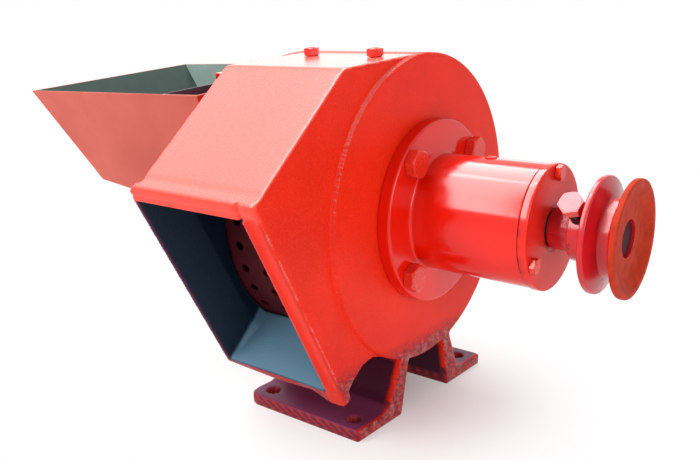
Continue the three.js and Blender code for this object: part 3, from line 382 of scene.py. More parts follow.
casting_layers = [
    # painted shade: the lip's front face, which faces down, is painted a darker red
    ("#C81E08", "lip_face", 1.0),
    # painted sheen: the hood's upward faces and the bead's top are painted pale pink as a reflection of the
    # sky
    ("#EC5448", "plate", 1.0),
    ("#5E2034", "foot_stain", 1.0),
    # painted shade in the pockets over the feet
    ("#3C0A24", "grime", 1.0),
    ("#6A3454", "sole", 1.0),
    # the chute's inner walls: their own dark film, painted near black as shade
    ("#081A2A", "hollow", 0.4),
    ("#56788E", "chute_floor", 1.0),
    ("#4A1634", "thin_lip", 1.0),
    ("#3B3836", "chamber", 0.4),
]
joint_layer = [("#5A0C0A", "joint", 1.0)]
cast_enamel = enamel(
    "Orange-red enamel over sand-cast iron",
    "#E42408", "#D61E08", 1.3, 0.26, 0.42, 0.16, layers=casting_layers, grain_highlights=0.3,
)
plate_enamel = enamel(
    "Orange-red enamel over filed cast iron",
    "#E42408", "#D61E08", 1.3, 0.26, 0.26, 0.5, layers=casting_layers,
)
smooth_enamel = enamel(
    "Orange-red enamel over machined iron",
    "#E01802", "#D41202", 3.0, 0.003, 0.13, 0.45, chips=0.03, layers=joint_layer,
)
cover_enamel = enamel(
    "Crimson enamel over the cover's face",
    "#DA2A1C", "#C82018", 2.2, 0.02, 0.34, 0.2, chips=0.05,
)
bolt_enamel = enamel(
    "Orange-red enamel over bolt heads",
    "#DE2A18", "#C92817", 1.6, 0.012, 0.24, 0.5, chips=0.04,
)
pulley_enamel = enamel(
    "Deep red enamel over the pulley",
    "#CC1A22", "#B0141C", 2.4, 0.006, 0.2, 0.45, chips=0.12,
)
sheet_enamel = enamel(
    "Washed red enamel over folded sheet",
    "#B25246", "#A6463A", 4.0, 0.03, 0.4, 0.2,
)
print("enamels mixed:", len(bpy.data.materials))

# %% [markdown]
# ## Bare metals and worn paints
# Turned steel, bare castings, ground bearing steel, brass and felt are hidden inside or only
# glimpsed, but each keeps its own colour and roughness. A clean metal's metallic value is 1 and
# its colour is that of its reflection. Under rust or oil the value falls, and paint has none.


# %% Bare materials
def bare(name, tone, deep, metallic, rough, grain, relief, shine=0.5):
    """A plain material whose colour drifts from tone to deep with a noise of the grain's size in mm."""
    made, tree = new_material(name)
    place = node(tree, "ShaderNodeTexCoord").outputs["Object"]
    pattern = {"Vector": place, "Scale": per_mm(grain), "Detail": 5.0, "Roughness": 0.6}
    drift = node(tree, "ShaderNodeTexNoise", pattern)
    colours = {"Factor": drift, MIX_FIRST: linear(tone), MIX_SECOND: linear(deep)}
    skin = node(tree, "ShaderNodeMix", colours, data_type="RGBA").outputs[MIX_RESULT]
    bump = node(tree, "ShaderNodeBump", {"Height": drift, "Strength": 1.0, "Distance": relief * MM})
    limits = {"Value": drift, "To Min": rough - 0.08, "To Max": rough + 0.12}
    spread = node(tree, "ShaderNodeMapRange", limits)
    finish = {
        "Base Color": skin,
        "Metallic": metallic,
        "Specular IOR Level": shine,
        "Roughness": spread,
        "Normal": bump,
    }
    shader = node(tree, "ShaderNodeBsdfPrincipled", finish)
    node(tree, "ShaderNodeOutputMaterial", {"Surface": shader})
    return made


turned_steel = bare("Turned mild steel", "#8D8A86", "#6C6763", 1.0, 0.34, 6, 0.03)
# painted shade: the ring screen deep in the casing and the shaft's end deep in the pulley's eye are painted
# dark maroon
shade_dark_steel = bare(
    "Steel painted dark maroon as shade", "#4A0A14", "#2C060E", 0.0, 0.55, 12, 0.05, shine=0.1
)
bare_iron = bare("Bare cast iron", "#56524F", "#3B3836", 0.8, 0.6, 3, 0.25)
ground_steel = bare("Ground bearing steel", "#C4C6C8", "#B4B6B9", 1.0, 0.16, 5, 0.0)
turned_brass = bare("Turned brass", "#B08D3C", "#94742E", 1.0, 0.32, 4, 0.02)
oiled_felt = bare("Oiled wool felt", "#4A4640", "#2F2C28", 0.0, 0.9, 1.5, 0.3)

# painted shade: the hopper's teal inside, darker on the walls that face away from the front
shaded_teal_sheet = bare(
    "Old stained teal sheet painted darker as shade", "#1A2A28", "#34403A", 0.0, 0.6, 16, 0.05, shine=0.08
)
# painted shade: the partition inside the hopper is painted dark maroon
shaded_partition_sheet = bare("Partition painted dark maroon as shade", "#4A2A40", "#2C1626", 0.0, 0.5, 14, 0.05)
# painted light: the same teal, lighter on the wall that faces the front, as if lit
lit_teal_sheet = bare("Teal sheet painted lighter as if lit", "#50625E", "#6A7A72", 0.0, 0.5, 12, 0.05, shine=0.2)
rusted_face = bare(
    "Red paint worn to rust on the pulley's face", "#CC3A20", "#7A2412", 0.0, 0.5, 8, 0.08, shine=0.06
)
# painted highlight: the set bolt's top is painted pale pink as a reflection of the window
set_bolt_highlight = bare("Pale pink painted highlight on the set bolt", "#E89AA0", "#D8787A", 0.0, 0.4, 5, 0.05, shine=0.2)
# The hopper rim's top is worn and also painted pale as a highlight.
rim_wear_and_highlight = bare("Sheet edge worn and painted pale as a highlight", "#C4B0A4", "#A08474", 0.0, 0.45, 9, 0.03)
dark_thread = bare("Oiled bolt thread", "#3A2430", "#241820", 0.6, 0.4, 3, 0.1)
print("materials in all:", len(bpy.data.materials))

# %% [markdown]
# Every CAD node names its slot, and each slot stands for one of these materials. A piece that
# replaces a node rides on the same body, and has the same finish or one of its own.

# %% Finishes for nodes and pieces
finish_of_slot = {
    "castEnamel": cast_enamel,
    "enamel": smooth_enamel,
    "sheetEnamel": sheet_enamel,
    "darkSteel": shade_dark_steel,
    "steel": turned_steel,
    "castIron": bare_iron,
    "bearingSteel": ground_steel,
    "brass": turned_brass,
    "felt": oiled_felt,
}
slot_of_node = {part["node"]: part["material_slot"] for part in frame["record"]["subparts"]}
carried_by = frame["record"]["behaviour"]["bodies"]
body_of_node = {name: body for body, names in carried_by.items() for name in names}
for name, carried in nodes.items():
    carried.data.materials.clear()
    carried.data.materials.append(finish_of_slot[slot_of_node[name]])
print("finishes given to", len(nodes), "CAD nodes")


def dress(made, *replaced, finish=None):
    """The piece takes its body and slot from the first CAD node it stands for, and, where it is given no
    finish, its finish too."""
    first = replaced[0]
    made.data.materials.clear()
    made.data.materials.append(finish or finish_of_slot[slot_of_node[first]])
    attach(made, body_of_node[first])
    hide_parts(*replaced)
    return made


# %% [markdown]
# ## The casing
# Drum, hood, mouth lip, feet and hinge arms are one sand casting, so they are one skin. The CAD
# copy is remade with even faces, which rounds every edge. Its drum has flat facets, so each point
# near the drum's wall then moves out to the true circle: its radius is divided by how far the
# facet there falls short of the circle, cos(half facet) / cos(angle from the facet's middle).

# %% Cast casing
DRUM_RADIUS = 117.4
DRUM_SIDES = 48
casing = recast("mill_casing", "casting_of_drum_hood_and_feet", 1.3, 3, kept=0.68)


def rounded_out(points, depth):
    """Points within the depth of the drum's or the door's facetted wall are moved out to its true circle."""
    reach = np.hypot(points[:, 1], points[:, 2])
    angle = np.arctan2(points[:, 2], points[:, 1])
    half = np.pi / DRUM_SIDES
    short = np.cos(half) / np.cos(np.mod(angle, 2 * half) - half)
    near = (reach < DRUM_RADIUS * 1.002) & (reach > DRUM_RADIUS - depth)
    moved = points.copy()
    moved[:, 1:] *= np.where(near, 1 / short, 1)[:, None]
    return moved


put_points(casing.data, rounded_out(points_of(casing.data), 5))

# %% [markdown]
# ## The mouth's lip
# The moulder gave the mouth a lip: a round bead along the top and a broad, slightly hollow band down
# the right, parted by a notch where the two patterns met. Notch, hollow and the grooves beside the
# bead are soft dents in the skin, so each is a push inwards along a bell curve: its depth times how
# near the point lies to the dent's middle.
# The sill is pulled down in front, and the step from drum to hood, which the remaking had blurred,
# is drawn sharp again by moving each point near it most of the way to the level it belongs to.

# %% Masks along the casting
mouth_foot = np.array([-104.0, -118.0])
mouth_slope = math.radians(118.95)
mouth_height = 159.4
lip_inner_edge = -20.0
far_side = -125
up_mouth = np.array([math.cos(mouth_slope), math.sin(mouth_slope)])
out_of_mouth = np.array([-up_mouth[1], up_mouth[0]])


def ramp(values, start, full):
    """Zero at the start, one where the values are full, and a straight line between the two."""
    return np.clip((values - start) / (full - start), 0, 1)


def bell(values, middle, reach):
    """One at the middle, zero from the reach on, along (1 - (distance / reach)^2)^2."""
    return np.clip(1 - ((values - middle) / reach) ** 2, 0, 1) ** 2


def between(values, low, high, soft=1.0):
    """One between low and high, with soft ends."""
    return ramp(values, low, low + soft) * ramp(values, high, high - soft)


def mouth_place(points):
    """How high each point lies up the mouth's slope, and how deep behind the plane of the mouth."""
    from_foot = points[:, 1:] - mouth_foot
    return from_foot @ up_mouth, -from_foot @ out_of_mouth


print("half way to its reach a bell has fallen to", float(bell(1, 0, 2)))

# %% Lip bead, notch, hollow band and sill
groove_depth, groove_height, groove_reach = 0.9, 164, 2.6
notch_depth, notch_reach = 2.6, 2.4
band_depth, band_middle, band_reach = 2.2, -12.6, 6.6
bead_depth, bead_behind, bead_reach = 0.6, 10, 4
sill_pull, sill_thickness, sill_back = 1.2, 6, 14
hood_step, step_foot, step_kept = 3.5, -92, 0.2

points = points_of(casing.data)
x, y, z = points.T.copy()
height_on_lip, depth_from_mouth = mouth_place(points)
face = ramp(depth_from_mouth, 6, 0)
groove = groove_depth * bell(height_on_lip, groove_height, groove_reach) * face
groove *= between(height_on_lip, mouth_height, 175) * between(x, far_side, lip_inner_edge)
notch = notch_depth * bell(x, lip_inner_edge + 0.5, notch_reach) * face
notch *= between(height_on_lip, mouth_height - 1, 176)
dished = band_depth * bell(x, band_middle, band_reach) * between(height_on_lip, 4, 166, 6) * face
points[:, 1:] -= (groove + notch + dished)[:, None] * out_of_mouth
behind_bead = bead_depth * bell(depth_from_mouth, bead_behind, bead_reach) * between(height_on_lip, 150, 190)
behind_bead *= between(x, far_side, -4) * (points[:, 2] > 0)
points[:, 2] -= behind_bead
sill = np.clip(-height_on_lip, 0, sill_thickness) * ramp(depth_from_mouth, sill_back, 0)
sill *= between(x, -122, -18, 60) * (points[:, 2] > -134)
points[:, 1:] -= (sill_pull * sill)[:, None] * up_mouth

reach = np.hypot(points[:, 1], points[:, 2])
on_edge = (np.abs(reach - DRUM_RADIUS) < 4) & (points[:, 1] < 0) & (points[:, 2] > step_foot)
on_edge &= (x > -3.3) & (x < -0.2)
level = np.where(reach < DRUM_RADIUS, 0, -hood_step)
points[:, 0] = np.where(on_edge, step_kept * x + (1 - step_kept) * level, x)
put_points(casing.data, points)
print("deepest dents: groove", round(float(groove.max()), 2), "notch", round(float(notch.max()), 2))

# %% [markdown]
# ## Where the casting is bare, oily or rubbed, and where shade and sheen are painted
# The chute's inside never got red paint: its walls carry an old blue-black film, painted near black
# as shade, and its floor is rubbed to a grey blue by the powder. The pockets over the feet and the
# lip's front face are painted dark as shade, the hood's upward faces get a painted pale sheen, and
# edges lose their paint first, with painted highlight lines along the lip's ridges. Each of these is
# worked out for every point of the skin and kept as a mesh attribute that the paint reads, so that
# the borders follow the casting and not the camera.


# %% Measures of the skin
def bulge_of(mesh, points, normals):
    """How far a point stands out from its neighbours: minus their mean offset along its normal, over
    their mean distance."""
    ends = np.empty(len(mesh.edges) * 2, dtype=np.int32)
    mesh.edges.foreach_get("vertices", ends)
    first, second = ends.reshape(-1, 2).T
    offset, reach = np.zeros_like(points), np.zeros(len(points))
    step = points[second] - points[first]
    length = np.linalg.norm(step, axis=1)
    for here, sign in ((first, 1), (second, -1)):
        np.add.at(offset, here, sign * step)
        np.add.at(reach, here, length)
    return -(offset * normals).sum(axis=1) / np.maximum(reach, 1e-9)


def depth_inside(points, corners):
    """Distance of (y, z) points from a closed outline's nearest edge, positive inside, negative outside."""
    corners = np.array(corners, float)
    start, leg = corners[None], (np.roll(corners, -1, axis=0) - corners)[None]
    spot = points[:, None] - start
    share = np.clip((spot * leg).sum(-1) / (leg**2).sum(-1), 0, 1)[..., None]
    nearest = np.linalg.norm(spot - leg * share, axis=-1).min(axis=1)
    end = start + leg
    spans = (start[..., 1] > points[:, None, 1]) != (end[..., 1] > points[:, None, 1])
    with np.errstate(divide="ignore", invalid="ignore"):
        crossing = start[..., 0] + (points[:, None, 1] - start[..., 1]) / leg[..., 1] * leg[..., 0]
    inside = (spans & (points[:, None, 0] < crossing)).sum(axis=1) % 2 == 1
    return np.where(inside, nearest, -nearest)


square = [(0, 0), (4, 0), (4, 4), (0, 4)]
print("1 mm inside and 1 mm outside a square:", depth_inside(np.array([[1.0, 2.0], [5.0, 2.0]]), square))

# %% [markdown]
# The hood's inside is the room within an outline in the (y, z) plane and between its two side
# walls, the far one of which flares towards the mouth. Heights up the lip are those from before
# it was dented, so that the paint follows the casting's own outline.

# %% The hood's inside
floor_end = np.array([-54.3, -65.3])
roof_corners = [(-48, 93.3), (-48, 106.6), (-97.1, 102.4)]
mouth_top = mouth_foot + mouth_height * up_mouth
beyond_mouth = 6 * out_of_mouth
hollow_corners = [
    mouth_foot + beyond_mouth,
    mouth_foot,
    floor_end,
    *roof_corners,
    mouth_top,
    mouth_top + beyond_mouth,
]
far_wall, flare_width, flare_depth = -107.5, 10.5, 30
film_overlap = 0.9
chamber_radius, chamber_wall = 111.7, -9.2
dust_slope, dust_top = 0.3, 9

points, normals = points_of(casing.data), normals_of(casing.data)
x, y, z = points.T
reach = np.hypot(y, z)
depth_from_mouth = mouth_place(points)[1]
flare = flare_width * ramp(depth_from_mouth, flare_depth, 0)
inside_x = np.minimum(x - far_wall + flare, lip_inner_edge - x)
hollow = np.minimum(depth_inside(points[:, 1:], hollow_corners), inside_x) + film_overlap
outer_side = (normals[:, 0] < -0.3) & (x < -100)
hollow = np.where(outer_side, -1, hollow)
chamber = np.minimum(chamber_radius - reach, chamber_wall - x)
floor_way = (floor_end - mouth_foot) / np.linalg.norm(floor_end - mouth_foot)
above_floor = (points[:, 1:] - mouth_foot) @ np.array([-floor_way[1], floor_way[0]])
# The floor's grey blue reaches a few millimetres up the far wall near the mouth.
floor_tone_up_wall = ramp(dust_slope * depth_from_mouth - above_floor, 0, 3) * ramp(above_floor, dust_top, dust_top - 3)
chute_floor = (hollow > 0) * np.maximum(ramp(normals[:, 2], 0.2, 0.5), floor_tone_up_wall)
print("points inside the hood:", int((hollow > 0).sum()), "of", len(points))

# %% [markdown]
# Outside, the mouth's thin edges are oily, the feet are stained at the face and the toe, the sole's
# top is a darker purple, and the pockets between them and the drum are painted dark as shade. A mottle
# of two crossing waves, each bent by another, keeps the stains from lying evenly. Three levels part
# these: the lip's paint ends at the first, the sole's purple begins at the second, and the foot's flange
# is below the third.

# %% Lip and feet
FEET_LEVEL = -136
SOLE_LEVEL = -142
FLANGE_LEVEL = -148
thin_sides = np.minimum.reduce(
    [
        ramp(depth_from_mouth, 1.6, 0.6),
        ramp(height_on_lip, 158.5, 157.5),
        ramp(x, lip_inner_edge, lip_inner_edge - 1),
        ramp(height_on_lip, -16, -15),
        ramp(z, FEET_LEVEL, FEET_LEVEL + 1),
    ]
)
# painted shade: the pockets between the feet and the drum, under the chute, are marked to be painted dark
shaded_pocket = np.minimum.reduce(
    [
        ramp(x, -3.4, -5.9),
        ramp(x, -111, -108),
        ramp(np.abs(y), 88.5, 85.5),
        ramp(z, -103, -111),
        ramp(z, FLANGE_LEVEL - 3, FLANGE_LEVEL),
        ramp(reach, 117, 120),
    ]
)
sole = (z < SOLE_LEVEL) * ramp(normals[:, 2], 0.6, 0.9) * ramp(x, -1.5, -3.5)
toe = (z < SOLE_LEVEL) * ramp(normals[:, 1], -0.4, -0.7)
facing = np.where(z < FLANGE_LEVEL, ramp(normals[:, 0], 0.2, 0.5), ramp(normals[:, 0], 0.5, 0.8))
on_foot = np.maximum(ramp(z, -96, -108) * facing, toe)
on_sill = thin_sides * ramp(height_on_lip, 2, -1)
first_wave = np.sin(0.7 * (x + y + z) + 3 * np.sin(0.23 * y - 0.4 * z))
mottle = first_wave * np.sin(0.61 * (y - z) + 2 * np.sin(0.5 * z))


def plate_share(points, normals):
    """One where the hood's skin looks up: its normal's height, fading out where hood becomes drum."""
    looks_up = ramp(normals[:, 2], 0.3, 0.5)
    return looks_up * ramp(points[:, 1], -8, -33) * (points[:, 2] > 15)


# The bead's top joins the painted pale sheen of the hood's upward faces.
bead_top_sheen = 0.5 * ramp(height_on_lip, 159, 161) * ramp(depth_from_mouth, 5, 3) * (x < -4)
# painted highlights: thin pale lines along both edges of the lip's right band, drawn with the scuff colour
ridge_highlights = (bell(x, -4.4, 1.6) + bell(x, lip_inner_edge + 1.2, 1.6)) * ramp(depth_from_mouth, 3, 2)
ridge_highlights *= 0.5 * ramp(height_on_lip, 166, 162) * (z > FEET_LEVEL)
on_step = ramp(np.abs(reach - DRUM_RADIUS), 4, 2) * (y < 0) * (z > step_foot)
far_corner = (x < -95) & (depth_from_mouth < 16) & (height_on_lip > 135)
bulges = np.clip(bulge_of(casing.data, points, normals), 0, 1) * (1 - 0.7 * on_step) * (1 - 0.8 * far_corner)
print("share of points on the feet:", round(float((on_foot > 0).mean()), 3))

# %% [markdown]
# What the paint reads is written down last, one number for every point and for each kind of wear and
# of painted light. Of the two enamels, the filed one goes to the faces of the hood's top and slanted plate.

# %% Wear and painted light attributes of the casing
# painted shade on the lip's front face, which faces down and away from the light
lip_face = ramp(depth_from_mouth, 2, 1) * ramp(height_on_lip, 160, 156) * (z > FEET_LEVEL)
attributes = {
    # real worn edges, plus painted highlight lines along the lip's ridges
    "edge": np.maximum.reduce([bulges, ridge_highlights, 0.42 * on_foot * (1 - 0.7 * toe), 0.4 * on_sill]),
    # painted sheen, pale pink on the hood's upward faces and the bead's top, which also flattens their
    # texture
    "plate": (hollow <= 0) * np.maximum(plate_share(points, normals), bead_top_sheen),
    "lip_face": 0.8 * lip_face,
    # the chute's inner walls: their own dark film, painted near black as shade
    "hollow": hollow,
    "thin_lip": thin_sides * ramp(height_on_lip, 1, 4),
    "sole": sole,
    "foot_stain": np.maximum(on_foot, on_sill) * (0.55 + 0.45 * mottle) + 0.3 * toe,
    "chamber": chamber,
    "chute_floor": chute_floor,
    # painted shade in the pockets over the feet
    "grime": (hollow <= 0) * shaded_pocket,
}
for name, values in attributes.items():
    keep_attribute(casing.data, name, values)
    print(name, "from", round(float(values.min()), 2), "to", round(float(values.max()), 2))
dress(casing, "mill_casing")
centres, directions = polygon_arrays(casing.data)
share_out(casing, plate_share(centres, directions) > 0.5, plate_enamel)

# %% [markdown]
# ## Bearing housing and cover
# Flange and barrel are one casting that was turned on a lathe before it was painted, so they are
# a profile carried round the shaft, with the fillet between barrel and flange as the tool left it.
# Paint chips off along the joint between barrel and cover.


# %% Turned housing and cover
def chipped_joint(made, joint, width):
    """One near the joint's x, broken up round the shaft by two waves of the angle as paint chips off it."""
    x, y, z = points_of(made.data).T
    angle = np.arctan2(z, y)
    broken = 0.6 + 0.25 * np.sin(11 * angle) + 0.25 * np.sin(29 * angle + 1)
    keep_attribute(made.data, "joint", ramp(np.abs(x - joint), width, width - 0.2) * broken)


housing_start, housing_end = box_of("bearing_housing")[:, 0]
flange_back, flange_face, flange_radius = 0.3, 10.7, 69.5
barrel_radius, spigot_radius, bore_radius = 44, 40, 31.3
housing_profile = [
    (housing_start, bore_radius),
    (housing_start, spigot_radius),
    (flange_back, spigot_radius),
    (flange_back, flange_radius, 0.6),
    (flange_face, flange_radius, 2.2),
    (flange_face, barrel_radius, 2.6),
    (housing_end, barrel_radius, 1),
    (housing_end, bore_radius),
]
housing = surface("bearing_flange_and_barrel", turned_grid(housing_profile))
dress(housing, "bearing_housing")
chipped_joint(housing, housing_end, 0.5)

cover_start, cover_end = box_of("bearing_cover")[:, 0]
cover_radius, plug_radius, seal_radius, eye_radius = 44.8, 31, 19.8, 13.7
recess_radius, recess_floor = 17.5, 16.6
rim_foot = cover_start + 2
eye_floor = cover_end - 0.8
seal_floor = cover_start + 5.3
cover_profile = [
    (cover_start, seal_radius),
    (cover_start, plug_radius),
    (rim_foot, plug_radius),
    (rim_foot, cover_radius, 0.5),
    (cover_end, cover_radius, 1.4),
    (cover_end, recess_radius, 0.5),
    (eye_floor, recess_floor, 0.5),
    (eye_floor, eye_radius, 0.4),
    (seal_floor, eye_radius),
    (seal_floor, seal_radius),
]
cover = surface("bearing_end_cover", turned_grid(cover_profile))
dress(cover, "bearing_cover")
chipped_joint(cover, rim_foot, 0.6)
centres, directions = polygon_arrays(cover.data)
share_out(cover, directions[:, 0] > 0.8, cover_enamel)
print("barrel ends at x =", round(housing_end, 1), "mm and cover at", round(cover_end, 1), "mm")

# %% [markdown]
# ## Hexagon heads
# A forged hexagon head is a six-sided bar whose corners were turned off by a cone. As a function
# of the angle, its side lies at across / 2 / cos(angle from the flat's middle), and its top falls
# from a flat circle towards the corner at thirty degrees, which draws the curved edge by itself.


# %% Hexagon shapes
def hexagon(across, sides=72):
    """The angle round the axis, and for it the side's radius, the top circle's radius and the drop from
    the one to the other."""
    angle = np.linspace(0, 2 * np.pi, sides, endpoint=False)
    side = across / 2 / np.cos(np.mod(angle, np.pi / 3) - np.pi / 6)
    crown = across / 2 * 0.94
    return angle, side, crown, (side - crown) * math.tan(math.radians(30))


def rings(angle, outline):
    """Each (height, radius) of the outline, a number or one for every angle, is a ring round the X axis."""
    heights, radii = (
        np.array([np.broadcast_to(row, angle.shape) for row in rows]) for rows in zip(*outline)
    )
    return np.stack([heights, radii * np.cos(angle), radii * np.sin(angle)], axis=-1)


def hexagon_head(across, height, shank_radius, shank_length):
    """Rings run from the top's middle down the side and back under it to the shank's end."""
    angle, side, crown, drop = hexagon(across)
    outline = [
        (height, 0),
        (height, 0.98 * crown),
        (height - 0.1, crown),
        (height - drop, side),
        (0.3, side),
        (0, side - 0.3),
        (0, shank_radius),
        (-shank_length, shank_radius),
        (-shank_length, 0),
    ]
    return rings(angle, outline)


def hexagon_nut(across, height, bore):
    """Rings run down the bore, out along the foot and up the side, whose two ends are chamfered alike."""
    angle, side, crown, drop = hexagon(across)
    outline = [(0, bore), (height, bore), (height, crown), (height - drop, side), (drop, side), (0, crown)]
    return rings(angle, outline)


def along(grid, axis, turn, foot):
    """A grid made along X is turned to lie along another axis, spun about it and set on a foot point."""
    axis = np.array(axis, float) / np.linalg.norm(axis)
    side = np.cross(axis, [0, 0, 1] if abs(axis[2]) < 0.9 else [1, 0, 0])
    side /= np.linalg.norm(side)
    other = np.cross(axis, side)
    spin = math.radians(turn)
    across = side * math.cos(spin) + other * math.sin(spin)
    upward = np.cross(axis, across)
    return grid @ np.array([axis, across, upward]) + np.array(foot)


print("corners of a 19 mm hexagon are", round(float(hexagon(19)[1].max()), 2), "mm from its axis")

# %% [markdown]
# The M12 bolts of the flange, the M6 screws of the cover and the M8 bolts of the hopper stand where
# their CAD nodes do, each turned its own way, as a spanner leaves them.


# %% Painted bolts
def bolt(node_name, across, height, shank_radius, turn, way):
    """A hexagon bolt in the place of its CAD node, whose head is at the far end along way times X."""
    low, high = box_of(node_name)
    end = high[0] if way > 0 else low[0]
    foot = [end - way * height, (low[1] + high[1]) / 2, (low[2] + high[2]) / 2]
    head = hexagon_head(across, height, shank_radius, high[0] - low[0] - height)
    made = surface(node_name + "_hexagon", along(head, [way, 0, 0], turn, foot), crisp=20)
    dress(made, node_name, finish=bolt_enamel)


bolt_families = [
    ("flange_bolt", 19, 7.7, 6, (12, 47, 28, 5), 1),
    ("cover_screw", 10, 4, 3, (20, 4, 33), 1),
    ("hopper_bolt", 13, 5.5, 4, (10, 38, 22, 51), -1),
]
for family, across, height, shank_radius, turns, way in bolt_families:
    for number, turn in enumerate(turns, start=1):
        bolt(f"{family}_{number}", across, height, shank_radius, turn, way)
    print(len(turns), "painted pieces set:", family)

# %% [markdown]
# Two nuts pull the ring screen up against the hood's top, which slopes down towards the mouth, so
# they stand square to that slope and not upright.

# %% Nuts on the screen's studs
top_slope = math.radians(5)
up_from_hood = np.array([0, -math.sin(top_slope), math.cos(top_slope)])
nut_across, nut_height, nut_bore = 10.4, 5.8, 3.4
for number, turn in ((1, 8), (2, 27)):
    foot = box_of(f"screen_nut_{number}").mean(axis=0) - nut_height / 2 * up_from_hood
    nut = along(hexagon_nut(nut_across, nut_height, nut_bore), up_from_hood, turn, foot)
    made = surface(f"screen_nut_{number}_hexagon", nut, crisp=20)
    dress(made, f"screen_nut_{number}", finish=bolt_enamel)
    nodes[f"screen_stud_{number}"].data.materials[0] = dark_thread
print("nuts stand on a hood that slopes by", round(math.degrees(top_slope)), "degrees")

# %% [markdown]
# ## The oil plug
# A plug closes the barrel's oil hole. It was painted over with the rest, so all that shows of it is
# a low red button with a small dent in its top, where its slot has filled with paint.

# %% Oil plug
plug_low, plug_high = box_of("oil_plug")
plug_foot = [(plug_low[0] + plug_high[0]) / 2, (plug_low[1] + plug_high[1]) / 2, plug_low[2]]
shank, button, brim, top = 3.6, 4.5, 15, 16.9
plug_profile = [
    (0, 0),
    (0, shank),
    (brim, shank),
    (brim, button, 0.3),
    (top - 0.3, button, 0.8),
    (top, 1.6, 0.5),
    (top - 0.4, 0),
]
plug = surface("oil_hole_plug", along(turned_grid(plug_profile, sides=48), [0, 0, 1], 0, plug_foot))
dress(plug, "oil_plug", finish=cover_enamel)
print("plug stands to z =", round(float(points_of(plug.data)[:, 2].max()), 1), "mm")

# %% [markdown]
# ## Pulley and shaft
# The pulley was turned from a casting: a hub with its set bolt, one V groove for the belt, and a
# dished outer face with an eye for the shaft's end. The paint on that face is worn to rust.

# %% Turned pulley
pulley_start, pulley_end = box_of("belt_pulley")[:, 0]
pulley_radius, groove_root, hub_radius, pulley_bore = 40, 27, 20, 12.8
hub_length, flank = 15.3, 4
dish_radius, dish_floor, dish_depth, eye_depth = 36, 27, 5.6, 4.6
rim_start = pulley_start + hub_length
groove_start = rim_start + flank
groove_end = pulley_end - flank
groove_slope = (pulley_radius - groove_root) * math.tan(math.radians(19))
pulley_profile = [
    (pulley_start, pulley_bore, 0.3),
    (pulley_start, hub_radius, 1),
    (rim_start, hub_radius, 2),
    (rim_start, pulley_radius, 1),
    (groove_start, pulley_radius, 1),
    (groove_start + groove_slope, groove_root, 1.2),
    (groove_end - groove_slope, groove_root, 1.2),
    (groove_end, pulley_radius, 1),
    (pulley_end, pulley_radius, 1),
    (pulley_end, dish_radius, 0.8),
    (pulley_end - dish_depth, dish_floor, 5),
    (pulley_end - eye_depth, pulley_bore, 0.6),
]
pulley = surface("single_groove_pulley", turned_grid(pulley_profile))
dress(pulley, "belt_pulley", finish=pulley_enamel)
centres, directions = polygon_arrays(pulley.data)
outside_bore = np.hypot(centres[:, 1], centres[:, 2]) > pulley_bore + 0.2
share_out(pulley, (centres[:, 0] > groove_end - 2) & outside_bore, rusted_face)
print("groove is", round(groove_end - groove_start, 1), "mm wide at the rim")

# %% [markdown]
# From the rotor's seat the shaft steps up to a shoulder that the first bearing rests against.
# Between cover and hub a collar of paint and old grease has built up, and the end face, deep in the pulley's
# eye, is painted dark as shade.

# %% Stepped shaft
shaft_start, shaft_end = box_of("shaft")[:, 0]
rotor_seat, bearing_seat, shoulder, collar = 10, 12.5, 15.5, 14.4
rotor_end, shoulder_start, shoulder_end = -33.0, -11.7, 1.7
collar_start, collar_end = cover_end + 0.6, pulley_start - 0.2
shaft_profile = [
    (shaft_start, 0),
    (shaft_start, rotor_seat, 1),
    (rotor_end, rotor_seat),
    (rotor_end, bearing_seat, 0.4),
    (shoulder_start, bearing_seat),
    (shoulder_start, shoulder, 0.6),
    (shoulder_end, shoulder, 0.6),
    (shoulder_end, bearing_seat),
    (collar_start, bearing_seat),
    (collar_start, collar, 0.6),
    (collar_end, collar, 0.6),
    (collar_end, bearing_seat),
    (shaft_end, bearing_seat, 1),
    (shaft_end, 0),
]
shaft = surface("stepped_shaft", turned_grid(shaft_profile, sides=64))
dress(shaft, "shaft")
centres, directions = polygon_arrays(shaft.data)
# painted shade: the shaft's end face, deep in the pulley's eye, is painted dark
on_end = centres[:, 0] > shaft_end - 1.1
share_out(shaft, np.where(on_end, 2, centres[:, 0] > collar_start - 0.1), pulley_enamel, shade_dark_steel)
print("shaft runs from x =", round(shaft_start, 1), "to", round(shaft_end, 1), "mm")

# %% [markdown]
# The pulley is held on its key by a bolt through the hub. It points up and towards the mouth, and
# its thread shows below the head because the hub is small.

# %% Set bolt
set_angle = math.radians(139.4)
out_of_hub = np.array([0, math.cos(set_angle), math.sin(set_angle)])
head_foot = 33
set_across, set_height, set_shank, set_length = 15, 7, 5, 20.3
foot = head_foot * out_of_hub + [box_of("pulley_set_bolt")[:, 0].mean(), 0, 0]
head = along(hexagon_head(set_across, set_height, set_shank, set_length), out_of_hub, 16, foot)
set_bolt = surface("pulley_set_bolt_hexagon", head, crisp=20)
dress(set_bolt, "pulley_set_bolt", finish=bolt_enamel)
centres, directions = polygon_arrays(set_bolt.data)
below_head = np.hypot(centres[:, 1], centres[:, 2]) < head_foot - 0.4
# painted highlight: the faces on the head's top are painted pale pink
on_top = directions @ out_of_hub > 0.8
share_out(set_bolt, np.where(below_head, 1, np.where(on_top, 2, 0)), dark_thread, set_bolt_highlight)
print("faces of the set bolt's thread:", int(below_head.sum()))

# %% [markdown]
# ## Hopper, gate and door
# The hopper is folded from 2 mm sheet, so its edges are crisp and only eased by the paint. Its
# outside is red and its inside an old teal, painted lighter as if lit on the wall that faces the front
# and darker as shade on the rest. Its partition is painted dark maroon as shade, and the top of its rim
# is pale, worn to the metal and painted lighter as a highlight. The door is a ribbed casting like
# the drum.

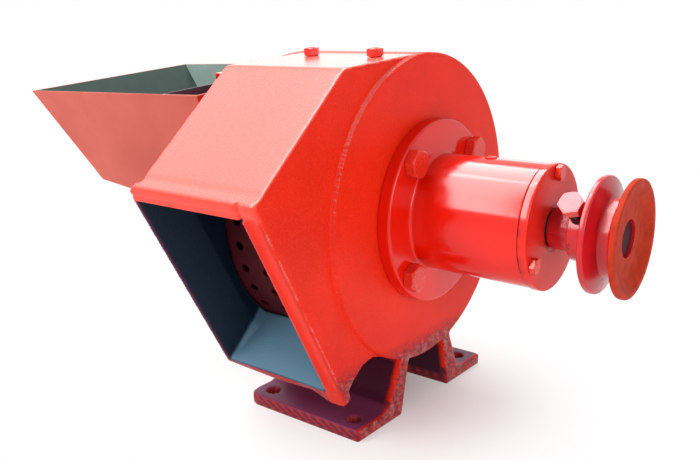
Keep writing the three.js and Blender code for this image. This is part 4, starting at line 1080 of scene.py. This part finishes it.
# %% Hopper
hopper = dress(eased("hopper", "folded_hopper", 0.4), "hopper")
centres, directions = polygon_arrays(hopper.data)
inside_point = np.array([-235.0, 0.0, 55.0])
partition_start, partition_end, throat_start = -186.5, -170, -150
beyond_partition = centres[:, 0] > partition_start
# painted shade: the partition's faces and top get the dark maroon
on_partition = beyond_partition & (np.abs(directions[:, 0]) > 0.9) & (centres[:, 0] < throat_start)
top_of_partition = beyond_partition & (centres[:, 0] < partition_end) & (directions[:, 2] > 0.9)
# the rim's top: worn metal and a painted highlight
rim = (centres[:, 2] > centres[:, 2].max() - 1) & (directions[:, 2] > 0.7)
on_tab = (directions[:, 0] < -0.9) & (centres[:, 0] > throat_start)
inside = (((inside_point - centres) * directions).sum(axis=1) > 2) & ~on_tab
# Walls facing the front get the teal painted as lit, the others the teal painted as shade.
lit_and_shaded_teal = np.where(directions[:, 1] < -0.5, 4, 1)
choice = np.where(on_partition | top_of_partition, 2, np.where(rim, 3, np.where(inside, lit_and_shaded_teal, 0)))
share_out(hopper, choice, shaded_teal_sheet, shaded_partition_sheet, rim_wear_and_highlight, lit_teal_sheet)
print("hopper faces: outside, teal, partition, rim, pale =", np.bincount(choice, minlength=5))

# %% [markdown]
# The gate is sheet too, so its edges are eased like the hopper's. The door is cast with six ribs, so
# it is remade like the drum.

# %% Gate and door
dress(eased("feed_gate", "sliding_feed_gate", 0.5), "feed_gate")
door = recast("door", "ribbed_cast_door", 1.6, 3)
put_points(door.data, rounded_out(points_of(door.data), 3))
dress(door, "door")

# %% [markdown]
# ## Light, floor and camera
# The machine stands on a plain pale floor under five soft lamps and a pale sky. The two strips are
# what the glossy barrel and the hood's plate mirror. The camera stands where the photograph was
# taken from: to the right of the mouth, a little above the hopper.

# %% Camera
camera_place = (311.0, -504.0, 129.6)
camera_data = bpy.data.cameras.new("camera")
camera_data.lens = 40.55
camera_data.sensor_width = 36
camera_data.clip_start = 0.01
camera = in_scene("camera", camera_data)
turn, tilt, roll = math.radians(37.63), math.radians(13.9), math.radians(0.27)
camera.matrix_world = (
    Matrix.Translation(to_frame(camera_place))
    @ Matrix.Rotation(turn, 4, "Z")
    @ Matrix.Rotation(math.pi / 2 - tilt, 4, "X")
    @ Matrix.Rotation(-roll, 4, "Z")
)
bpy.context.scene.camera = camera
print("camera at", [round(share, 3) for share in camera.matrix_world.translation])


# %% Lamps
def lamp(name, place, target, size, power):
    """An area lamp, its width and height in metres, that faces its target."""
    data = bpy.data.lights.new(name, "AREA")
    data.shape = "RECTANGLE"
    data.size, data.size_y = size
    data.energy = power
    made = in_scene(name, data)
    away = np.array(place, float) - np.array(target, float)
    away /= np.linalg.norm(away)
    side = np.cross([0, 0, 1], away)
    side /= np.linalg.norm(side)
    upward = np.cross(away, side)
    turned = Matrix([[*row, 0] for row in np.array([side, upward, away]).T.tolist()] + [[0, 0, 0, 1]])
    made.matrix_world = Matrix.Translation(place) @ turned


lamp("near strip", (-0.44, -0.74, 1.12), (-0.417, -0.54, 0.663), (0.52, 1.7), 29)
lamp("far strip", (-0.44, 0.5, 1.45), (-0.15, 0.55, 0.2), (1.15, 0.5), 19)
lamp("window lamp", (-1.16, -0.14, 1.45), (-0.2, -0.1, 0.2), (0.9, 0.9), 4.5)
lamp("back lamp", (-1.2, 1.75, 0.75), (0, 0.1, 0.2), (1.6, 0.5), 4)
lamp("front lamp", (2.0, -0.95, 0.9), (0, 0, 0.12), (1.2, 1.2), 21)
print("lamps:", len(bpy.data.lights))

# %% [markdown]
# Seen directly, or in a glossy face, the floor away from the machine and the sky are plain white.
# To all other light the floor is pale paint, which keeps the shadow at the feet, and the sky is dim.


# %% Floor and sky
def seen_directly(tree):
    """One for rays from the camera and for those that gloss or glass sends on, and zero for the rest."""
    rays = node(tree, "ShaderNodeLightPath")
    seen = rays.outputs["Is Camera Ray"]
    for kind in ("Is Glossy Ray", "Is Transmission Ray"):
        seen = node(tree, "ShaderNodeMath", {0: seen, 1: rays.outputs[kind]}, operation="MAXIMUM")
    return seen


floor_reach, below_feet = 4, -0.0002
feet_middle, fade_radius = (0.05, 0.02, 0), 0.2
signs = [(-1, -1), (1, -1), (1, 1), (-1, 1)]
corners = [(floor_reach * right, floor_reach * back, below_feet) for right, back in signs]
floor_mesh = bpy.data.meshes.new("floor")
floor_mesh.from_pydata(corners, [], [(0, 1, 2, 3)])
floor = in_scene("floor", floor_mesh)
floor_material, tree = new_material("Pale studio floor")
shader = node(tree, "ShaderNodeBsdfPrincipled", {"Base Color": linear("#F4F4F2"), "Roughness": 0.7})
white = node(tree, "ShaderNodeEmission", {"Color": linear("#FFFFFF"), "Strength": 1.0})
place = node(tree, "ShaderNodeTexCoord").outputs["Object"]
from_feet = node(tree, "ShaderNodeVectorMath", {0: place, 1: feet_middle}, operation="DISTANCE")
far = node(tree, "ShaderNodeMapRange", {"Value": from_feet.outputs["Value"], "From Max": fade_radius})
share = node(tree, "ShaderNodeMath", {0: far, 1: seen_directly(tree)}, operation="MULTIPLY")
mixed = node(tree, "ShaderNodeMixShader", {"Fac": share, 1: shader, 2: white})
node(tree, "ShaderNodeOutputMaterial", {"Surface": mixed})
floor.data.materials.append(floor_material)

world = bpy.data.worlds.new("pale sky")
bpy.context.scene.world = world
world.use_nodes = True
tree = world.node_tree
tree.nodes.clear()
strength = node(tree, "ShaderNodeMapRange", {"Value": seen_directly(tree), "To Min": 0.3, "To Max": 1.0})
sky = node(tree, "ShaderNodeBackground", {"Color": linear("#FFFFFF"), "Strength": strength})
node(tree, "ShaderNodeOutputWorld", {"Surface": sky})
bpy.context.scene.view_settings.view_transform = "Standard"
print("floor fades to white", fade_radius, "m from the feet's middle")
